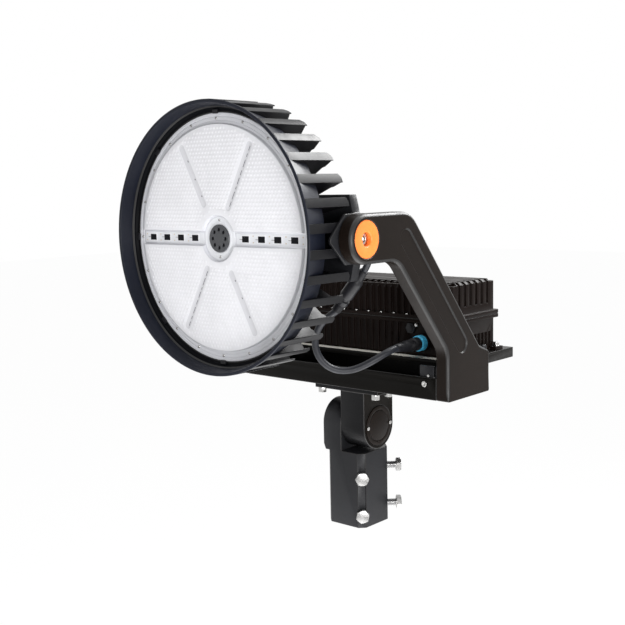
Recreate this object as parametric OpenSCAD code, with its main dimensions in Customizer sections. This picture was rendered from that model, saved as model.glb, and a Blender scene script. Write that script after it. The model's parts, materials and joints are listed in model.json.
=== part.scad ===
// LED flood light: a round head with radial fins, tilting in a yoke bracket that carries
// the driver box and stands on a slip fitter for a pole tenon. Millimetres, +Z up, and the
// light is thrown towards -Y. The origin is the mouth of the slip fitter, on the tenon's axis.

/* [Head] */
// Diameter over the front lip and the fins
head_d = 400; // [380:1:420]
// Depth from the front lip back to the pivot axis
pivot_depth = 88; // [86:0.5:92]
// Diameter of the lens plate
lens_d = 364; // [350:1:366]
// Depth of the lens behind the front lip
lens_depth = 28.8; // [27:0.2:31]
// Thickness of the lens plate
lens_t = 4; // [3:0.5:5]
// Height of the lenslet fields above the lens's border
field_h = 5.5; // [4:0.1:6]
// Width of the channel across the lens, between the fields
channel_w = 20; // [18:0.5:24]
// Width of the front lip
lip_w = 5; // [3:0.5:7]
// Thickness of the lens gasket
gasket_t = 3; // [2:0.5:4]
// Thickness of the base plate behind the LED boards
base_t = 8; // [6:0.5:10]
// Diameter of the core that joins the base plate to the rear bar
core_d = 80; // [70:1:90]
// Thickness of the LED boards
board_t = 1.6; // [1:0.1:2]
// Spacing of the LED packages
chip_pitch = 20; // [16:1:26]
// Side of an LED package
chip_w = 5; // [3:0.5:6]
// Diameter of the cap in the middle of the lens
vent_cap_d = 41; // [38:0.5:46]

/* [Fins] */
// Number of fins
fin_count = 36; // [30:1:40]
// Sheet thickness of a fin
fin_t = 1.6; // [1:0.1:2]
// Width of a fin's folded outer flange
flange_w = 13.3; // [8:0.1:15]
// Depth at which the outer flanges end
fin_rear = 91.5; // [88:0.5:93]
// Depth at which the webs end
web_rear = 85; // [76:0.5:87]
// Radius at which the webs end near the core
web_inner_r = 62; // [58:1:80]

/* [Rear bar and ears] */
// Depth at which the rear bar begins
bar_depth = 96; // [95.5:0.5:98]
// Thickness of the rear bar
bar_t = 16; // [13:0.5:20]
// Height of the rear bar
bar_h = 122; // [90:1:130]
// Thickness of an ear plate
ear_t = 4; // [3:0.5:6]
// Height of an ear plate
ear_h = 70; // [64:1:76]
// Depth of an ear plate's front tip
ear_tip_depth = 38; // [34:1:44]

/* [Pivot] */
// Diameter of the pivot bolts
pivot_bolt_d = 12; // [10:0.5:12]
// Diameter of the orange discs
disc_d = 53; // [46:0.5:56]
// Thickness of the orange discs
disc_t = 7; // [5:0.5:8]

/* [Bracket] */
// Clear width between the arms
yoke_w = 410; // [410:0.5:424]
// Thickness of an arm
arm_t = 23; // [20:0.5:28]
// Width of an arm's limb
limb_w = 70; // [66:1:80]
// Slope of the limb, in degrees from level
limb_angle = 50.2; // [49:0.1:52]
// Distance of the head's pivot in front of the tenon's axis
pivot_reach = 254; // [250:1:262]
// Height of the head's pivot above the beam's underside
pivot_rise = 262; // [256:1:270]
// Distance of the arm's outer knee behind the pivot
knee_back = 104; // [98:1:108]
// Depth of the crossbeam, front to back
beam_w = 112; // [100:1:120]
// Height of the crossbeam
beam_h = 35; // [30:0.5:35]
// Wall of the crossbeam
beam_wall = 4; // [3:0.5:5]

/* [Tray and driver] */
// Height of the tray's top above the beam's underside
tray_rise = 53; // [50:0.5:56]
// Distance of the tray's front edge ahead of the tenon's axis
tray_front = 2; // [-4:0.5:12]
// Depth of the tray, front to back
tray_w = 182; // [172:1:200]
// Sheet thickness of the tray
tray_t = 4; // [3:0.5:5]
// Length of the driver housings
driver_l = 368; // [330:1:372]
// Depth of the driver housings, front to back
driver_w = 131; // [120:1:140]
// Height of the lower housing
case_h = 61; // [56:0.5:66]
// Height of the upper housing
cover_h = 55; // [50:0.5:64]
// Wall of the housings
case_wall = 4; // [3:0.5:5]
// How far the seal flange stands out
seal_lip = 6; // [5:0.5:8]
// Spacing of the ribs
rib_pitch = 13.4; // [11:0.1:16]
// Height of the raised top
plateau_h = 4.5; // [4:0.25:8]

/* [Cable] */
// Diameter of the power cable
cable_d = 11; // [9:0.5:12]
// Diameter of the short cable from the head
head_cable_d = 10; // [8:0.5:11]
// Diameter of the plug's coupling ring
ring_d = 26; // [24:0.5:30]

/* [Slip fitter] */
// Outer width of the square socket
socket_w = 80; // [76:0.5:86]
// Diameter of the bore for the pole tenon
tenon_bore = 62; // [52:0.5:62]
// Length of the bore
tenon_depth = 105; // [90:1:108]
// Height of the socket at the front
socket_h = 130; // [124:0.5:131]
// Height of the knuckle's axis above the mouth
knuckle_rise = 174; // [172:0.5:182]
// Radius of the knuckle's two halves
knuckle_r = 40; // [36:0.5:42]
// Height of the beam's underside above the knuckle's axis
neck_rise = 72; // [70:0.5:80]
// Thickness of the flange plate under the beam
flange_plate_t = 10; // [8:0.5:14]
// Diameter of the knuckle bolt
knuckle_bolt_d = 16; // [12:0.5:18]
// Diameter of the clamp bolts
clamp_d = 12; // [8:0.5:12]
// Width across the flats of the clamp bolts' heads
clamp_af = 21; // [17:0.5:22]

/* [Fits] */
// Gap left between seated pieces of one body
seat = 0.3; // [0.2:0.05:0.4]
// Gap between the two halves of the knuckle, and between an ear and its arm
side_gap = 0.5; // [0.4:0.05:1]
// Radial running clearance of the pivot bolts
running = 0.04; // [0.02:0.01:0.08]

/* [Hidden] */
$fn = 64;

black = [0.07, 0.07, 0.075];
satin_black = [0.11, 0.11, 0.12];
steel = [0.72, 0.73, 0.75];

// Radii and depths of the head. Depth is measured back from the front lip.
head_r = head_d / 2;
lens_r = lens_d / 2;
lip_depth = 1.5;
cone_depth = 24.5;
cone_drop = 5;
ridge_r = lens_r + 9;
ridge_depth = lens_depth - 7.8;
step_r = lens_r + 5;
seat_r = lens_r + 0.5;
skirt_r = lens_r + 8;
skirt_wall = 4;
ledge_w = 12;
ledge_t = 2.2;
ledge_depth = lens_depth + lens_t + gasket_t;
base_depth = ledge_depth + ledge_t;
base_rear = base_depth + base_t;
base_r = skirt_r - skirt_wall - seat;
core_r = core_d / 2;
lens_screw_r = lens_r - 8;
field_r = lens_r - 15;
field_inner_r = vent_cap_d / 2 + 12.5;
lens_screw_count = 20;
lens_screw_shank_r = 1.2;
centre_screw_r = 27;
base_screw_r = lens_r - 3;
base_screw_count = 12;
base_screw_shank_r = 2;
clip_count = 8;
chip_t = 0.8;
vent_hole_r = vent_cap_d / 2 - 2.5;
vent_spigot_r = vent_hole_r - seat;
vent_bore_r = vent_spigot_r - 1.2;
board_inner_r = vent_cap_d / 2 + 4;
board_outer_r = lens_r - ledge_w - 3;
sector_count = 6;

// Where the head's pivot is, and the planes of the bracket.
beam_z = knuckle_rise + neck_rise;
pivot_y = -pivot_reach;
pivot_z = beam_z + pivot_rise;
rim_y = pivot_y - pivot_depth;
arm_x = yoke_w / 2;
arm_out_x = arm_x + arm_t;
ear_out_x = arm_x - side_gap;
ear_in_x = ear_out_x - ear_t;
beam_y = -beam_w / 2 - 2;
beam_top = beam_z + beam_h;
beam_end_x = arm_x - seat;
beam_screw_in = 21;
small_screw_in = 17;

// Pivot stack: bush, bolt head and disc lie one behind the other in the arm's boss.
pivot_r = pivot_bolt_d / 2;
bush_r = pivot_r + 3;
bush_l = 8;
bolt_head_r = pivot_r + 3;
bolt_head_l = 8;
bolt_seat_x = arm_x + bush_l;
disc_seat_x = arm_out_x - disc_t - 0.4;
disc_hole_r = bolt_head_r + 0.5;
nut_af = 18;
nut_l = 9;
ear_screw_back = 16;
ear_screw_h = 24;

// Outline of an arm in the YZ plane.
boss_r = limb_w / 2;
arm_top = pivot_z + boss_r;
knee_y = pivot_y + knee_back;
foot_front = beam_y - 1;
foot_rear = beam_y + beam_w + 4;
shoulder_z = beam_z + 79;
limb_run = limb_w / sin(limb_angle);
panel_half_w = 15;
panel_depth = 1.2;
panel_top_z = pivot_z + 5;
panel_low_z = beam_z + 85;

// Tray and driver housings.
tray_top = beam_z + tray_rise;
tray_y = -tray_front;
bracket_t = 4;
tray_end_x = beam_end_x - bracket_t - seat;
tray_side_h = 17;
tray_lip_h = 8;
driver_y = tray_y + 18;
driver_rear = driver_y + driver_w;
driver_x = driver_l / 2;
seal_t = 1;
seal_flange_t = 6;
seal_z = tray_top + case_h;
cover_z = seal_z + seal_t;
cover_top = cover_z + cover_h;
rib_t = 3;
rib_out = 4;
corner_r = 6;
panel_left_x = driver_x - 94;
floor_z = tray_top + case_wall;
board_z = floor_z + 9;
driver_board_t = 1.6;
board_top = board_z + driver_board_t;
foot_l = 13;
foot_w = 22;
foot_t = 6;
foot_inset = 6;
post_r = 5;
first_rib_x = corner_r - driver_x;
rib_count = floor((-2 * first_rib_x - rib_t) / rib_pitch);
flange_screw_r = 1.5;
supply_x = driver_x - 80;
supply_z = seal_z - 16;
panel_screw_x = driver_x - 68;
panel_screw_z = seal_z - 10;

// Plug and cables.
plug_x = driver_x - 57;
plug_z = tray_top + 22.5;
plug_r = ring_d / 2 - 2;
ring_l = 12;
ring_gap = 6;
plug_start = driver_y - ring_gap;
plug_l = 67;
plug_end = plug_start - plug_l;
gland_x = ear_in_x - 15;
gland_drop = 18;
gland_z = pivot_z - gland_drop;
gland_r = head_cable_d / 2 + 5;
gland_l = 14;
bar_rear_y = rim_y + bar_depth + bar_t;
connector_r = 10;

// Route of the power cable: its first points are measured from the plug's end, the rest
// from the head's pivot, and it ends at the inline connector.
plug_exit = [plug_x, plug_end, plug_z];
pivot = [0, pivot_y, pivot_z];
power_route = concat(
    [for (p = [
        [0, 0, 0], [0, -5, 0], [-2.5, -20.5, -4], [-12, -37, -13], [-25, -50.5, -22.5],
        [-39.5, -64.5, -29], [-53.5, -80, -28.5]
    ]) plug_exit + p],
    [for (p = [
        [61, 103, -206], [53.5, 93, -189.5], [52.5, 87.5, -169], [60, 85, -149.5],
        [73.5, 83.5, -133.5], [91.5, 80, -122.5], [102.6, 78.2, -115.9], [108, 78, -110]
    ]) pivot + p]
);
// Route of the short cable from the inline connector to the gland in the rear bar.
head_route = [for (p = [
    [158, 76, -55], [161.4, 75.9, -51.3], [166.5, 74.5, -45.5], [173, 71.5, -37],
    [178, 66.5, -30.5], [181.5, 60.5, -25], [184, 54, -21.5]
]) pivot + p];

// Slip fitter and knuckle.
socket_half = socket_w / 2;
bore_r = tenon_bore / 2;
socket_rear_h = socket_h + 2;
leg = 10;
knuckle_z = knuckle_rise;
ear_left_x = -44;
ear_right_x = -5;
block_left_x = ear_right_x + side_gap;
block_right_x = 46;
plate_left_x = -59;
plate_right_x = 77;
plate_half_y = 42;
plate_z = beam_z - flange_plate_t;
knuckle_bolt_r = knuckle_bolt_d / 2;
knuckle_nut_r = 19;
knuckle_nut_x = 28;
knuckle_cover_r = knuckle_r - 6;
cover_screw_r = knuckle_cover_r - 3.7;
cover_groove_r = cover_screw_r - 3.3;
clamp_r = clamp_d / 2;
clamp_head_l = 8.4;
clamp_shank_l = 34;
clamp_front = [22.6, 87.6];
clamp_side = [28.5, 96];
clamp_front_out = 60;
clamp_side_out = 74;
flange_bolt_x = [-49, 67];
flange_bolt_y = [-34, 0, 34];

// Puts a piece drawn round +Z, with its depth along +Z, into the head: X stays, local Y is up.
module in_head() {
    translate([0, rim_y, pivot_z])
        rotate([90, 0, 0])
            mirror([0, 0, 1])
                children();
}

module cylinder_x(r, x0, x1, y, z) {
    translate([x0, y, z])
        rotate([0, 90, 0])
            cylinder(r = r, h = x1 - x0);
}

module cylinder_y(r, y0, y1, x, z) {
    translate([x, y0, z])
        rotate([-90, 0, 0])
            cylinder(r = r, h = y1 - y0);
}

// A tapered length along Y, from radius ra at y0 to radius rb at y1.
module taper_y(ra, rb, y0, y1, x, z) {
    translate([x, y0, z])
        rotate([-90, 0, 0])
            cylinder(r1 = ra, r2 = rb, h = y1 - y0);
}

// Extrudes an outline drawn in the YZ plane from x0 to x1.
module slab_x(x0, x1) {
    translate([x0, 0, 0])
        rotate([90, 0, 90])
            linear_extrude(x1 - x0)
                children();
}

module box(low, high) {
    translate(low)
        cube(high - low);
}

// A block with upright round corners.
module round_box(low, high, r) {
    size = high - low;
    translate(low) {
        translate([r, 0, 0])
            cube([size[0] - 2 * r, size[1], size[2]]);
        translate([0, r, 0])
            cube([size[0], size[1] - 2 * r, size[2]]);
        for (x = [r, size[0] - r], y = [r, size[1] - r])
            translate([x, y, 0])
                cylinder(r = r, h = size[2]);
    }
}

module both_sides() {
    children();
    mirror([1, 0, 0])
        children();
}

// A hexagon of the given width across its flats, with two flats square to +Y.
module hexagon(af, h) {
    cylinder(d = af / cos(30), h = h, $fn = 6);
}

function unit(v) = v / norm(v);

// Arc that rounds the corner at b, between a and c.
function corner(a, b, c, r, steps = 8) =
    let (u = unit(a - b), v = unit(c - b), half = acos(u * v) / 2,
         centre = b + unit(u + v) * r / sin(half),
         from = b + u * r / tan(half) - centre,
         to = b + v * r / tan(half) - centre,
         a0 = atan2(from[1], from[0]),
         turn = atan2(to[1], to[0]) - a0,
         sweep = turn > 180 ? turn - 360 : turn < -180 ? turn + 360 : turn)
    [for (i = [0:steps]) centre + r * [cos(a0 + sweep * i / steps), sin(a0 + sweep * i / steps)]];

function wrap(points, i) = points[(i + len(points)) % len(points)];

// An outline whose corners are rounded by the radii given; a radius of 0 keeps the corner.
function rounded(points, radii) =
    [for (i = [0:len(points) - 1])
        each radii[i] > 0
            ? corner(wrap(points, i - 1), points[i], wrap(points, i + 1), radii[i])
            : [points[i]]];

// An outline with half circles of radius r round the points a and b.
function racetrack(a, b, r, steps = 16) =
    let (turn = atan2(b[1] - a[1], b[0] - a[0]))
    [for (end = [0, 1], i = [0:steps])
        let (angle = turn + 90 + 180 * (end + i / steps))
        (end == 0 ? a : b) + r * [cos(angle), sin(angle)]];

// A round tube through the points of a route, ring by ring.
module tube(route, d, sides = 10) {
    side_ref = [0.25, 0.75, -0.6];
    n = len(route);
    rings = [for (i = [0:n - 1])
        let (t = unit(route[min(i + 1, n - 1)] - route[max(i - 1, 0)]),
             u = unit(cross(t, side_ref)),
             v = cross(t, u))
        for (k = [0:sides - 1])
            route[i] + d / 2 * (u * cos(360 * k / sides) + v * sin(360 * k / sides))];
    walls = [for (i = [0:n - 2], k = [0:sides - 1])
        let (a = i * sides + k, b = i * sides + (k + 1) % sides)
        each [[a, b, b + sides], [a, b + sides, a + sides]]];
    first = [for (k = [1:sides - 2]) [0, k + 1, k]];
    last = [for (k = [1:sides - 2]) [(n - 1) * sides, (n - 1) * sides + k, (n - 1) * sides + k + 1]];
    polyhedron(points = rings, faces = concat(walls, first, last));
}

// Lamp head.
module shroud() {
    color(satin_black)
        in_head()
            difference() {
                rotate_extrude()
                    polygon([
                        [head_r, 0], [head_r, lip_depth], [head_r - cone_drop, cone_depth],
                        [skirt_r, cone_depth], [skirt_r, base_rear], [skirt_r - skirt_wall, base_rear],
                        [skirt_r - skirt_wall, base_depth], [lens_r - ledge_w, base_depth],
                        [lens_r - ledge_w, ledge_depth], [seat_r, ledge_depth], [seat_r, lens_depth],
                        [step_r, lens_depth], [ridge_r, ridge_depth], [head_r - lip_w, 0]
                    ]);
                lens_screw_holes(ledge_depth - 1);
                base_screw_holes(ledge_depth + 0.7);
            }
}

module lens_screw_places() {
    for (i = [0:lens_screw_count - 1])
        rotate([0, 0, 360 * i / lens_screw_count])
            translate([lens_screw_r, 0, 0])
                children();
}

module lens_screw_holes(from) {
    lens_screw_places()
        translate([0, 0, from])
            cylinder(r = lens_screw_shank_r + 0.05, h = base_depth - from + 1, $fn = 24);
}

module base_screw_places() {
    for (i = [0:base_screw_count - 1])
        rotate([0, 0, 9 + 360 * i / base_screw_count])
            translate([base_screw_r, 0, 0])
                children();
}

module base_screw_holes(from) {
    base_screw_places()
        translate([0, 0, from])
            cylinder(r = base_screw_shank_r + 0.05, h = base_rear - from + 1, $fn = 24);
}

// The two raised fields of lenslets, with the channel and the round recess between them.
module lens_fields() {
    difference() {
        translate([0, 0, lens_depth - field_h])
            cylinder(r = field_r, h = field_h + 1);
        translate([-lens_r, -channel_w / 2, lens_depth - field_h - 1])
            cube([lens_d, channel_w, field_h + 3]);
        translate([0, 0, lens_depth - field_h - 1])
            cylinder(r = field_inner_r, h = field_h + 3);
    }
}

module lens_plate() {
    color([0.86, 0.88, 0.9, 0.6])
        in_head()
            difference() {
                union() {
                    translate([0, 0, lens_depth])
                        cylinder(r = lens_r, h = lens_t);
                    lens_fields();
                }
                translate([0, 0, lens_depth - 1])
                    cylinder(r = vent_hole_r, h = lens_t + 2);
                lens_screw_holes(lens_depth - 1);
                for (s = [-1, 1])
                    translate([0, s * centre_screw_r, lens_depth - 1])
                        cylinder(r = lens_screw_shank_r + 0.05, h = lens_t + 2, $fn = 24);
            }
}

module lens_clips() {
    clip_w = 12;
    clip_t = 3;
    color(black)
        in_head()
            for (i = [0:clip_count - 1])
                rotate([0, 0, 360 * i / clip_count])
                    translate([lens_r - 1.5, -clip_w / 2, lens_depth - clip_t])
                        cube([step_r - lens_r, clip_w, clip_t]);
}

module lens_screws() {
    head_h = 1.4;
    head_r_small = 2.3;
    centre_l = base_depth - board_t - lens_depth + head_h;
    color(steel)
        in_head() {
            lens_screw_places() {
                translate([0, 0, lens_depth - head_h])
                    cylinder(r = head_r_small, h = head_h, $fn = 24);
                translate([0, 0, lens_depth])
                    cylinder(r = lens_screw_shank_r, h = base_depth - lens_depth, $fn = 24);
            }
            for (s = [-1, 1])
                translate([0, s * centre_screw_r, lens_depth - head_h]) {
                    cylinder(r = head_r_small, h = head_h, $fn = 24);
                    cylinder(r = lens_screw_shank_r, h = centre_l, $fn = 24);
                }
        }
}

module lens_gasket() {
    color([0.2, 0.2, 0.2])
        in_head()
            difference() {
                translate([0, 0, lens_depth + lens_t])
                    cylinder(r = lens_r - 1, h = gasket_t);
                translate([0, 0, lens_depth + lens_t - 1])
                    cylinder(r = lens_r - ledge_w + 1, h = gasket_t + 2);
                lens_screw_holes(lens_depth);
            }
}

module vent_cap() {
    cap_h = 3;
    hole_count = 8;
    color([0.16, 0.16, 0.17])
        in_head()
            difference() {
                union() {
                    translate([0, 0, lens_depth - cap_h])
                        cylinder(d = vent_cap_d, h = cap_h);
                    translate([0, 0, lens_depth])
                        cylinder(r = vent_spigot_r, h = lens_t);
                }
                translate([0, 0, lens_depth])
                    cylinder(r = vent_bore_r, h = lens_t + 1);
                for (i = [0:hole_count - 1])
                    rotate([0, 0, 360 * (i + 0.5) / hole_count])
                        translate([vent_bore_r - 3, 0, lens_depth - cap_h - 1])
                            cylinder(r = 2.4, h = cap_h + 2, $fn = 24);
            }
}

module vent_membrane() {
    color([0.9, 0.9, 0.88])
        in_head()
            translate([0, 0, lens_depth])
                cylinder(r = vent_bore_r - seat, h = 0.8);
}

module led_boards() {
    gap = 1;
    sector = 360 / sector_count;
    reach = 2 * board_outer_r;
    color([0.93, 0.93, 0.9])
        in_head()
            for (i = [0:sector_count - 1])
                rotate([0, 0, sector * i])
                    translate([0, 0, base_depth - board_t])
                        intersection() {
                            difference() {
                                cylinder(r = board_outer_r, h = board_t);
                                translate([0, 0, -1])
                                    cylinder(r = board_inner_r, h = board_t + 2);
                            }
                            translate([gap / 2 / tan(sector / 2), gap / 2, 0])
                                linear_extrude(board_t)
                                    polygon([[0, 0], [reach, 0], [reach * cos(sector), reach * sin(sector)]]);
                        }
}

module led_chips() {
    rows = floor((board_outer_r - board_inner_r - 2 * chip_w) / chip_pitch);
    color([0.95, 0.85, 0.3])
        in_head()
            for (s = [0:sector_count - 1])
                rotate([0, 0, 360 / sector_count * s + 180 / sector_count])
                    for (row = [0:rows]) {
                        r = board_inner_r + chip_w + row * chip_pitch;
                        across = floor(r * sin(24) / chip_pitch);
                        for (i = [-across:across])
                            translate([r * cos(24) + 4, i * chip_pitch, base_depth - board_t - chip_t])
                                translate([-chip_w / 2, -chip_w / 2, 0])
                                    cube([chip_w, chip_w, chip_t]);
                    }
}

module heat_base() {
    bolt_r = 4;
    color([0.6, 0.61, 0.62])
        in_head()
            difference() {
                union() {
                    translate([0, 0, base_depth])
                        cylinder(r = base_r, h = base_t);
                    translate([0, 0, base_depth])
                        cylinder(r = core_r, h = bar_depth - base_depth);
                }
                base_screw_holes(base_depth - 1);
                bar_bolt_places()
                    translate([0, 0, bar_depth - 20])
                        cylinder(r = bolt_r + 0.05, h = 21, $fn = 32);
            }
}

module base_screws() {
    color(steel)
        in_head()
            base_screw_places() {
                translate([0, 0, ledge_depth + 0.9])
                    cylinder(r = base_screw_shank_r, h = base_rear - ledge_depth - 0.9, $fn = 24);
                translate([0, 0, base_rear])
                    cylinder(r = 3.6, h = 3, $fn = 24);
            }
}

// One fin: a radial web with its outer edge folded into a flange that follows the shroud's cone.
module fin() {
    slope = (cone_depth - lip_depth) / cone_drop;
    flange_r = head_r - fin_t;
    flange_front = lip_depth + fin_t * slope + 2 * seat;
    cone_end_r = head_r - cone_drop + seat;
    translate([0, fin_t, 0])
        rotate([90, 0, 0])
            linear_extrude(fin_t)
                polygon([
                    [flange_r + 0.01, flange_front], [cone_end_r, cone_depth + seat],
                    [skirt_r + seat, cone_depth + seat], [skirt_r + seat, base_rear],
                    [web_inner_r, base_rear], [web_inner_r, web_rear], [flange_r + 0.01, web_rear]
                ]);
    translate([0, flange_w, 0])
        rotate([90, 0, 0])
            linear_extrude(flange_w)
                polygon([
                    [head_r, lip_depth + 2 * seat], [head_r, fin_rear],
                    [flange_r, fin_rear], [flange_r, flange_front]
                ]);
}

module fins() {
    first_angle = 3;
    color(satin_black)
        in_head()
            for (i = [0:fin_count - 1])
                rotate([0, 0, first_angle + 360 * i / fin_count])
                    fin();
}

module bar_bolt_places() {
    for (x = [-1, 1], y = [-1, 1])
        translate([x * (core_r - 20), y * (core_r - 20), 0])
            children();
}

module rear_bar() {
    color(satin_black)
        difference() {
            in_head()
                translate([0, 0, bar_depth]) {
                    intersection() {
                        cylinder(r = head_r, h = bar_t);
                        translate([-head_r, -bar_h / 2, 0])
                            cube([2 * head_r, bar_h, bar_t]);
                    }
                    translate([-ear_in_x, -ear_h / 2, 0])
                        cube([2 * ear_in_x, ear_h, bar_t]);
                }
            in_head()
                bar_bolt_places()
                    translate([0, 0, bar_depth - 1])
                        cylinder(r = 4.3, h = bar_t + 2, $fn = 32);
            both_sides()
                cylinder_x(nut_af / 2 + 2.5, ear_in_x - nut_l - 2, ear_in_x + 1, pivot_y, pivot_z);
            both_sides()
                ear_screw_places()
                    cylinder_x(2.55, ear_in_x - 9, ear_in_x + 1, 0, 0);
            cylinder_y(head_cable_d / 2 + 1.5, bar_rear_y - bar_t - 1, bar_rear_y + 1, gland_x, gland_z);
        }
}

module bar_bolts() {
    color(steel)
        in_head()
            bar_bolt_places() {
                translate([0, 0, bar_depth + bar_t])
                    hexagon(13, 5.5);
                translate([0, 0, bar_depth - 18])
                    cylinder(r = 4, h = bar_t + 18, $fn = 32);
            }
}

module ear_screw_places() {
    for (s = [-1, 1])
        translate([0, pivot_y + ear_screw_back, pivot_z + s * ear_screw_h])
            children();
}

// One ear plate, on the +X side.
module ear_plate() {
    half = ear_h / 2;
    tip = 3;
    tip_y = rim_y + ear_tip_depth;
    rear_y = bar_rear_y;
    difference() {
        slab_x(ear_in_x, ear_out_x)
            polygon([
                [tip_y, pivot_z - tip], [tip_y + half - tip, pivot_z - half], [rear_y, pivot_z - half],
                [rear_y, pivot_z + half], [tip_y + half - tip, pivot_z + half], [tip_y, pivot_z + tip]
            ]);
        cylinder_x(pivot_r + 0.02, ear_in_x - 1, ear_out_x + 1, pivot_y, pivot_z);
        ear_screw_places() {
            cylinder_x(2.7, ear_in_x - 1, ear_out_x + 1, 0, 0);
            translate([ear_out_x - 2.5, 0, 0])
                rotate([0, 90, 0])
                    cylinder(r1 = 2.7, r2 = 5.2, h = 2.51);
        }
    }
}

module ear_plates() {
    color(black)
        both_sides()
            ear_plate();
}

module ear_screws() {
    color(steel)
        both_sides()
            ear_screw_places() {
                cylinder_x(2.5, ear_in_x - 8, ear_out_x - 2.4, 0, 0);
                translate([ear_out_x - 2.5, 0, 0])
                    rotate([0, 90, 0])
                        cylinder(r1 = 2.5, r2 = 4.9, h = 2.4);
            }
}

// One pivot bolt with its nut, on the +X side.
module pivot_bolt() {
    cylinder_x(pivot_r, ear_in_x - nut_l, bolt_seat_x + seat, pivot_y, pivot_z);
    difference() {
        cylinder_x(bolt_head_r, bolt_seat_x + seat, bolt_seat_x + seat + bolt_head_l, pivot_y, pivot_z);
        translate([bolt_seat_x + seat + bolt_head_l - 4, pivot_y, pivot_z])
            rotate([0, 90, 0])
                hexagon(8, 5);
    }
    translate([ear_in_x - nut_l, pivot_y, pivot_z])
        rotate([0, 90, 0])
            rotate([0, 0, 90])
                hexagon(nut_af, nut_l);
}

module pivot_bolts() {
    color(steel)
        both_sides()
            pivot_bolt();
}

module head_gland() {
    end_y = bar_rear_y + gland_l;
    color(black)
        difference() {
            union() {
                cylinder_y(head_cable_d / 2 + 1.4, bar_rear_y - bar_t, bar_rear_y, gland_x, gland_z);
                cylinder_y(gland_r, bar_rear_y, bar_rear_y + gland_l - 4, gland_x, gland_z);
                taper_y(gland_r - 1, gland_r - 3, bar_rear_y + gland_l - 4, end_y, gland_x, gland_z);
            }
            cylinder_y(head_cable_d / 2 - 1, bar_rear_y - bar_t - 1, end_y - 2, gland_x, gland_z);
            cylinder_y(head_cable_d / 2 + 0.2, end_y - 2, end_y + 1, gland_x, gland_z);
        }
}

module head_cable() {
    color(black)
        tube(concat(head_route, [
            [gland_x, bar_rear_y + gland_l + 6, gland_z],
            [gland_x, bar_rear_y + gland_l - 2, gland_z]
        ]), head_cable_d);
}

// A barrel along the line between the two cables' ends.
module inline_connector() {
    from = power_route[len(power_route) - 1];
    to = head_route[0];
    axis = to - from;
    l = norm(axis);
    end_l = 9;
    yaw = atan2(axis[1], axis[0]);
    pitch = acos(axis[2] / l);
    color(black)
        translate(from)
            rotate([0, pitch, yaw]) {
                translate([0, 0, seat])
                    cylinder(r = cable_d / 2 + 1.5, h = end_l - seat);
                translate([0, 0, end_l])
                    cylinder(r = connector_r, h = l - 2 * end_l);
                translate([0, 0, l - end_l])
                    cylinder(r = head_cable_d / 2 + 1.5, h = end_l);
            }
}

// Yoke bracket.
module arm_outline() {
    slope = tan(limb_angle);
    shoulder_y = knee_y + (arm_top - shoulder_z) / slope;
    inner_knee_y = knee_y + limb_w / slope - limb_run;
    inner_foot_z = arm_top - (foot_front + limb_run - knee_y) * slope;
    polygon(rounded([
        [pivot_y, arm_top], [knee_y, arm_top], [shoulder_y, shoulder_z], [foot_rear, shoulder_z - 13],
        [foot_rear, beam_z], [foot_front, beam_z], [foot_front, inner_foot_z],
        [inner_knee_y, arm_top - limb_w], [pivot_y, arm_top - limb_w]
    ], [0, 45, 12, 6, 3, 3, 35, 35, 0]));
}

function limb_middle_y(z) = knee_y + (arm_top - z) / tan(limb_angle) - limb_run / 2;

// One arm, on the +X side.
module arm() {
    difference() {
        union() {
            slab_x(arm_x, arm_out_x)
                arm_outline();
            cylinder_x(boss_r, arm_x, arm_out_x, pivot_y, pivot_z);
        }
        cylinder_x(bush_r + 0.05, arm_x - 1, bolt_seat_x, pivot_y, pivot_z);
        cylinder_x(disc_hole_r + 0.2, bolt_seat_x, arm_out_x + 1, pivot_y, pivot_z);
        cylinder_x(disc_d / 2 + seat, disc_seat_x, arm_out_x + 1, pivot_y, pivot_z);
        slab_x(arm_out_x - panel_depth, arm_out_x + 1)
            polygon(racetrack([limb_middle_y(panel_top_z), panel_top_z],
                              [limb_middle_y(panel_low_z), panel_low_z], panel_half_w));
        arm_bolt_places()
            cylinder_x(5.05, arm_x - 1, arm_x + 14, 0, 0);
    }
}

module arm_right() {
    color(satin_black)
        arm();
}

module arm_left() {
    color(satin_black)
        mirror([1, 0, 0])
            arm();
}

module pivot_bushes() {
    color([0.75, 0.62, 0.35])
        both_sides()
            difference() {
                cylinder_x(bush_r, arm_x, bolt_seat_x, pivot_y, pivot_z);
                cylinder_x(pivot_r + running, arm_x - 1, bolt_seat_x + 1, pivot_y, pivot_z);
            }
}

module pivot_discs() {
    color([1, 0.42, 0.1])
        both_sides()
            difference() {
                cylinder_x(disc_d / 2, disc_seat_x, disc_seat_x + disc_t, pivot_y, pivot_z);
                cylinder_x(disc_hole_r, disc_seat_x - 1, disc_seat_x + disc_t + 1, pivot_y, pivot_z);
            }
}

module crossbeam() {
    color(satin_black)
        difference() {
            box([-beam_end_x, beam_y, beam_z], [beam_end_x, beam_y + beam_w, beam_top]);
            box([-beam_end_x - 1, beam_y + beam_wall, beam_z + beam_wall],
                [beam_end_x + 1, beam_y + beam_w - beam_wall, beam_top + 1]);
            both_sides()
                beam_screw_places()
                    cylinder_y(3.05, beam_y - 1, beam_y + beam_wall + 1, 0, 0);
            flange_bolt_places()
                translate([0, 0, beam_z - 1])
                    cylinder(r = 4.3, h = beam_wall + 2, $fn = 32);
        }
}

module beam_screw_places() {
    translate([beam_end_x - beam_screw_in, 0, beam_z + 25])
        children();
}

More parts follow.
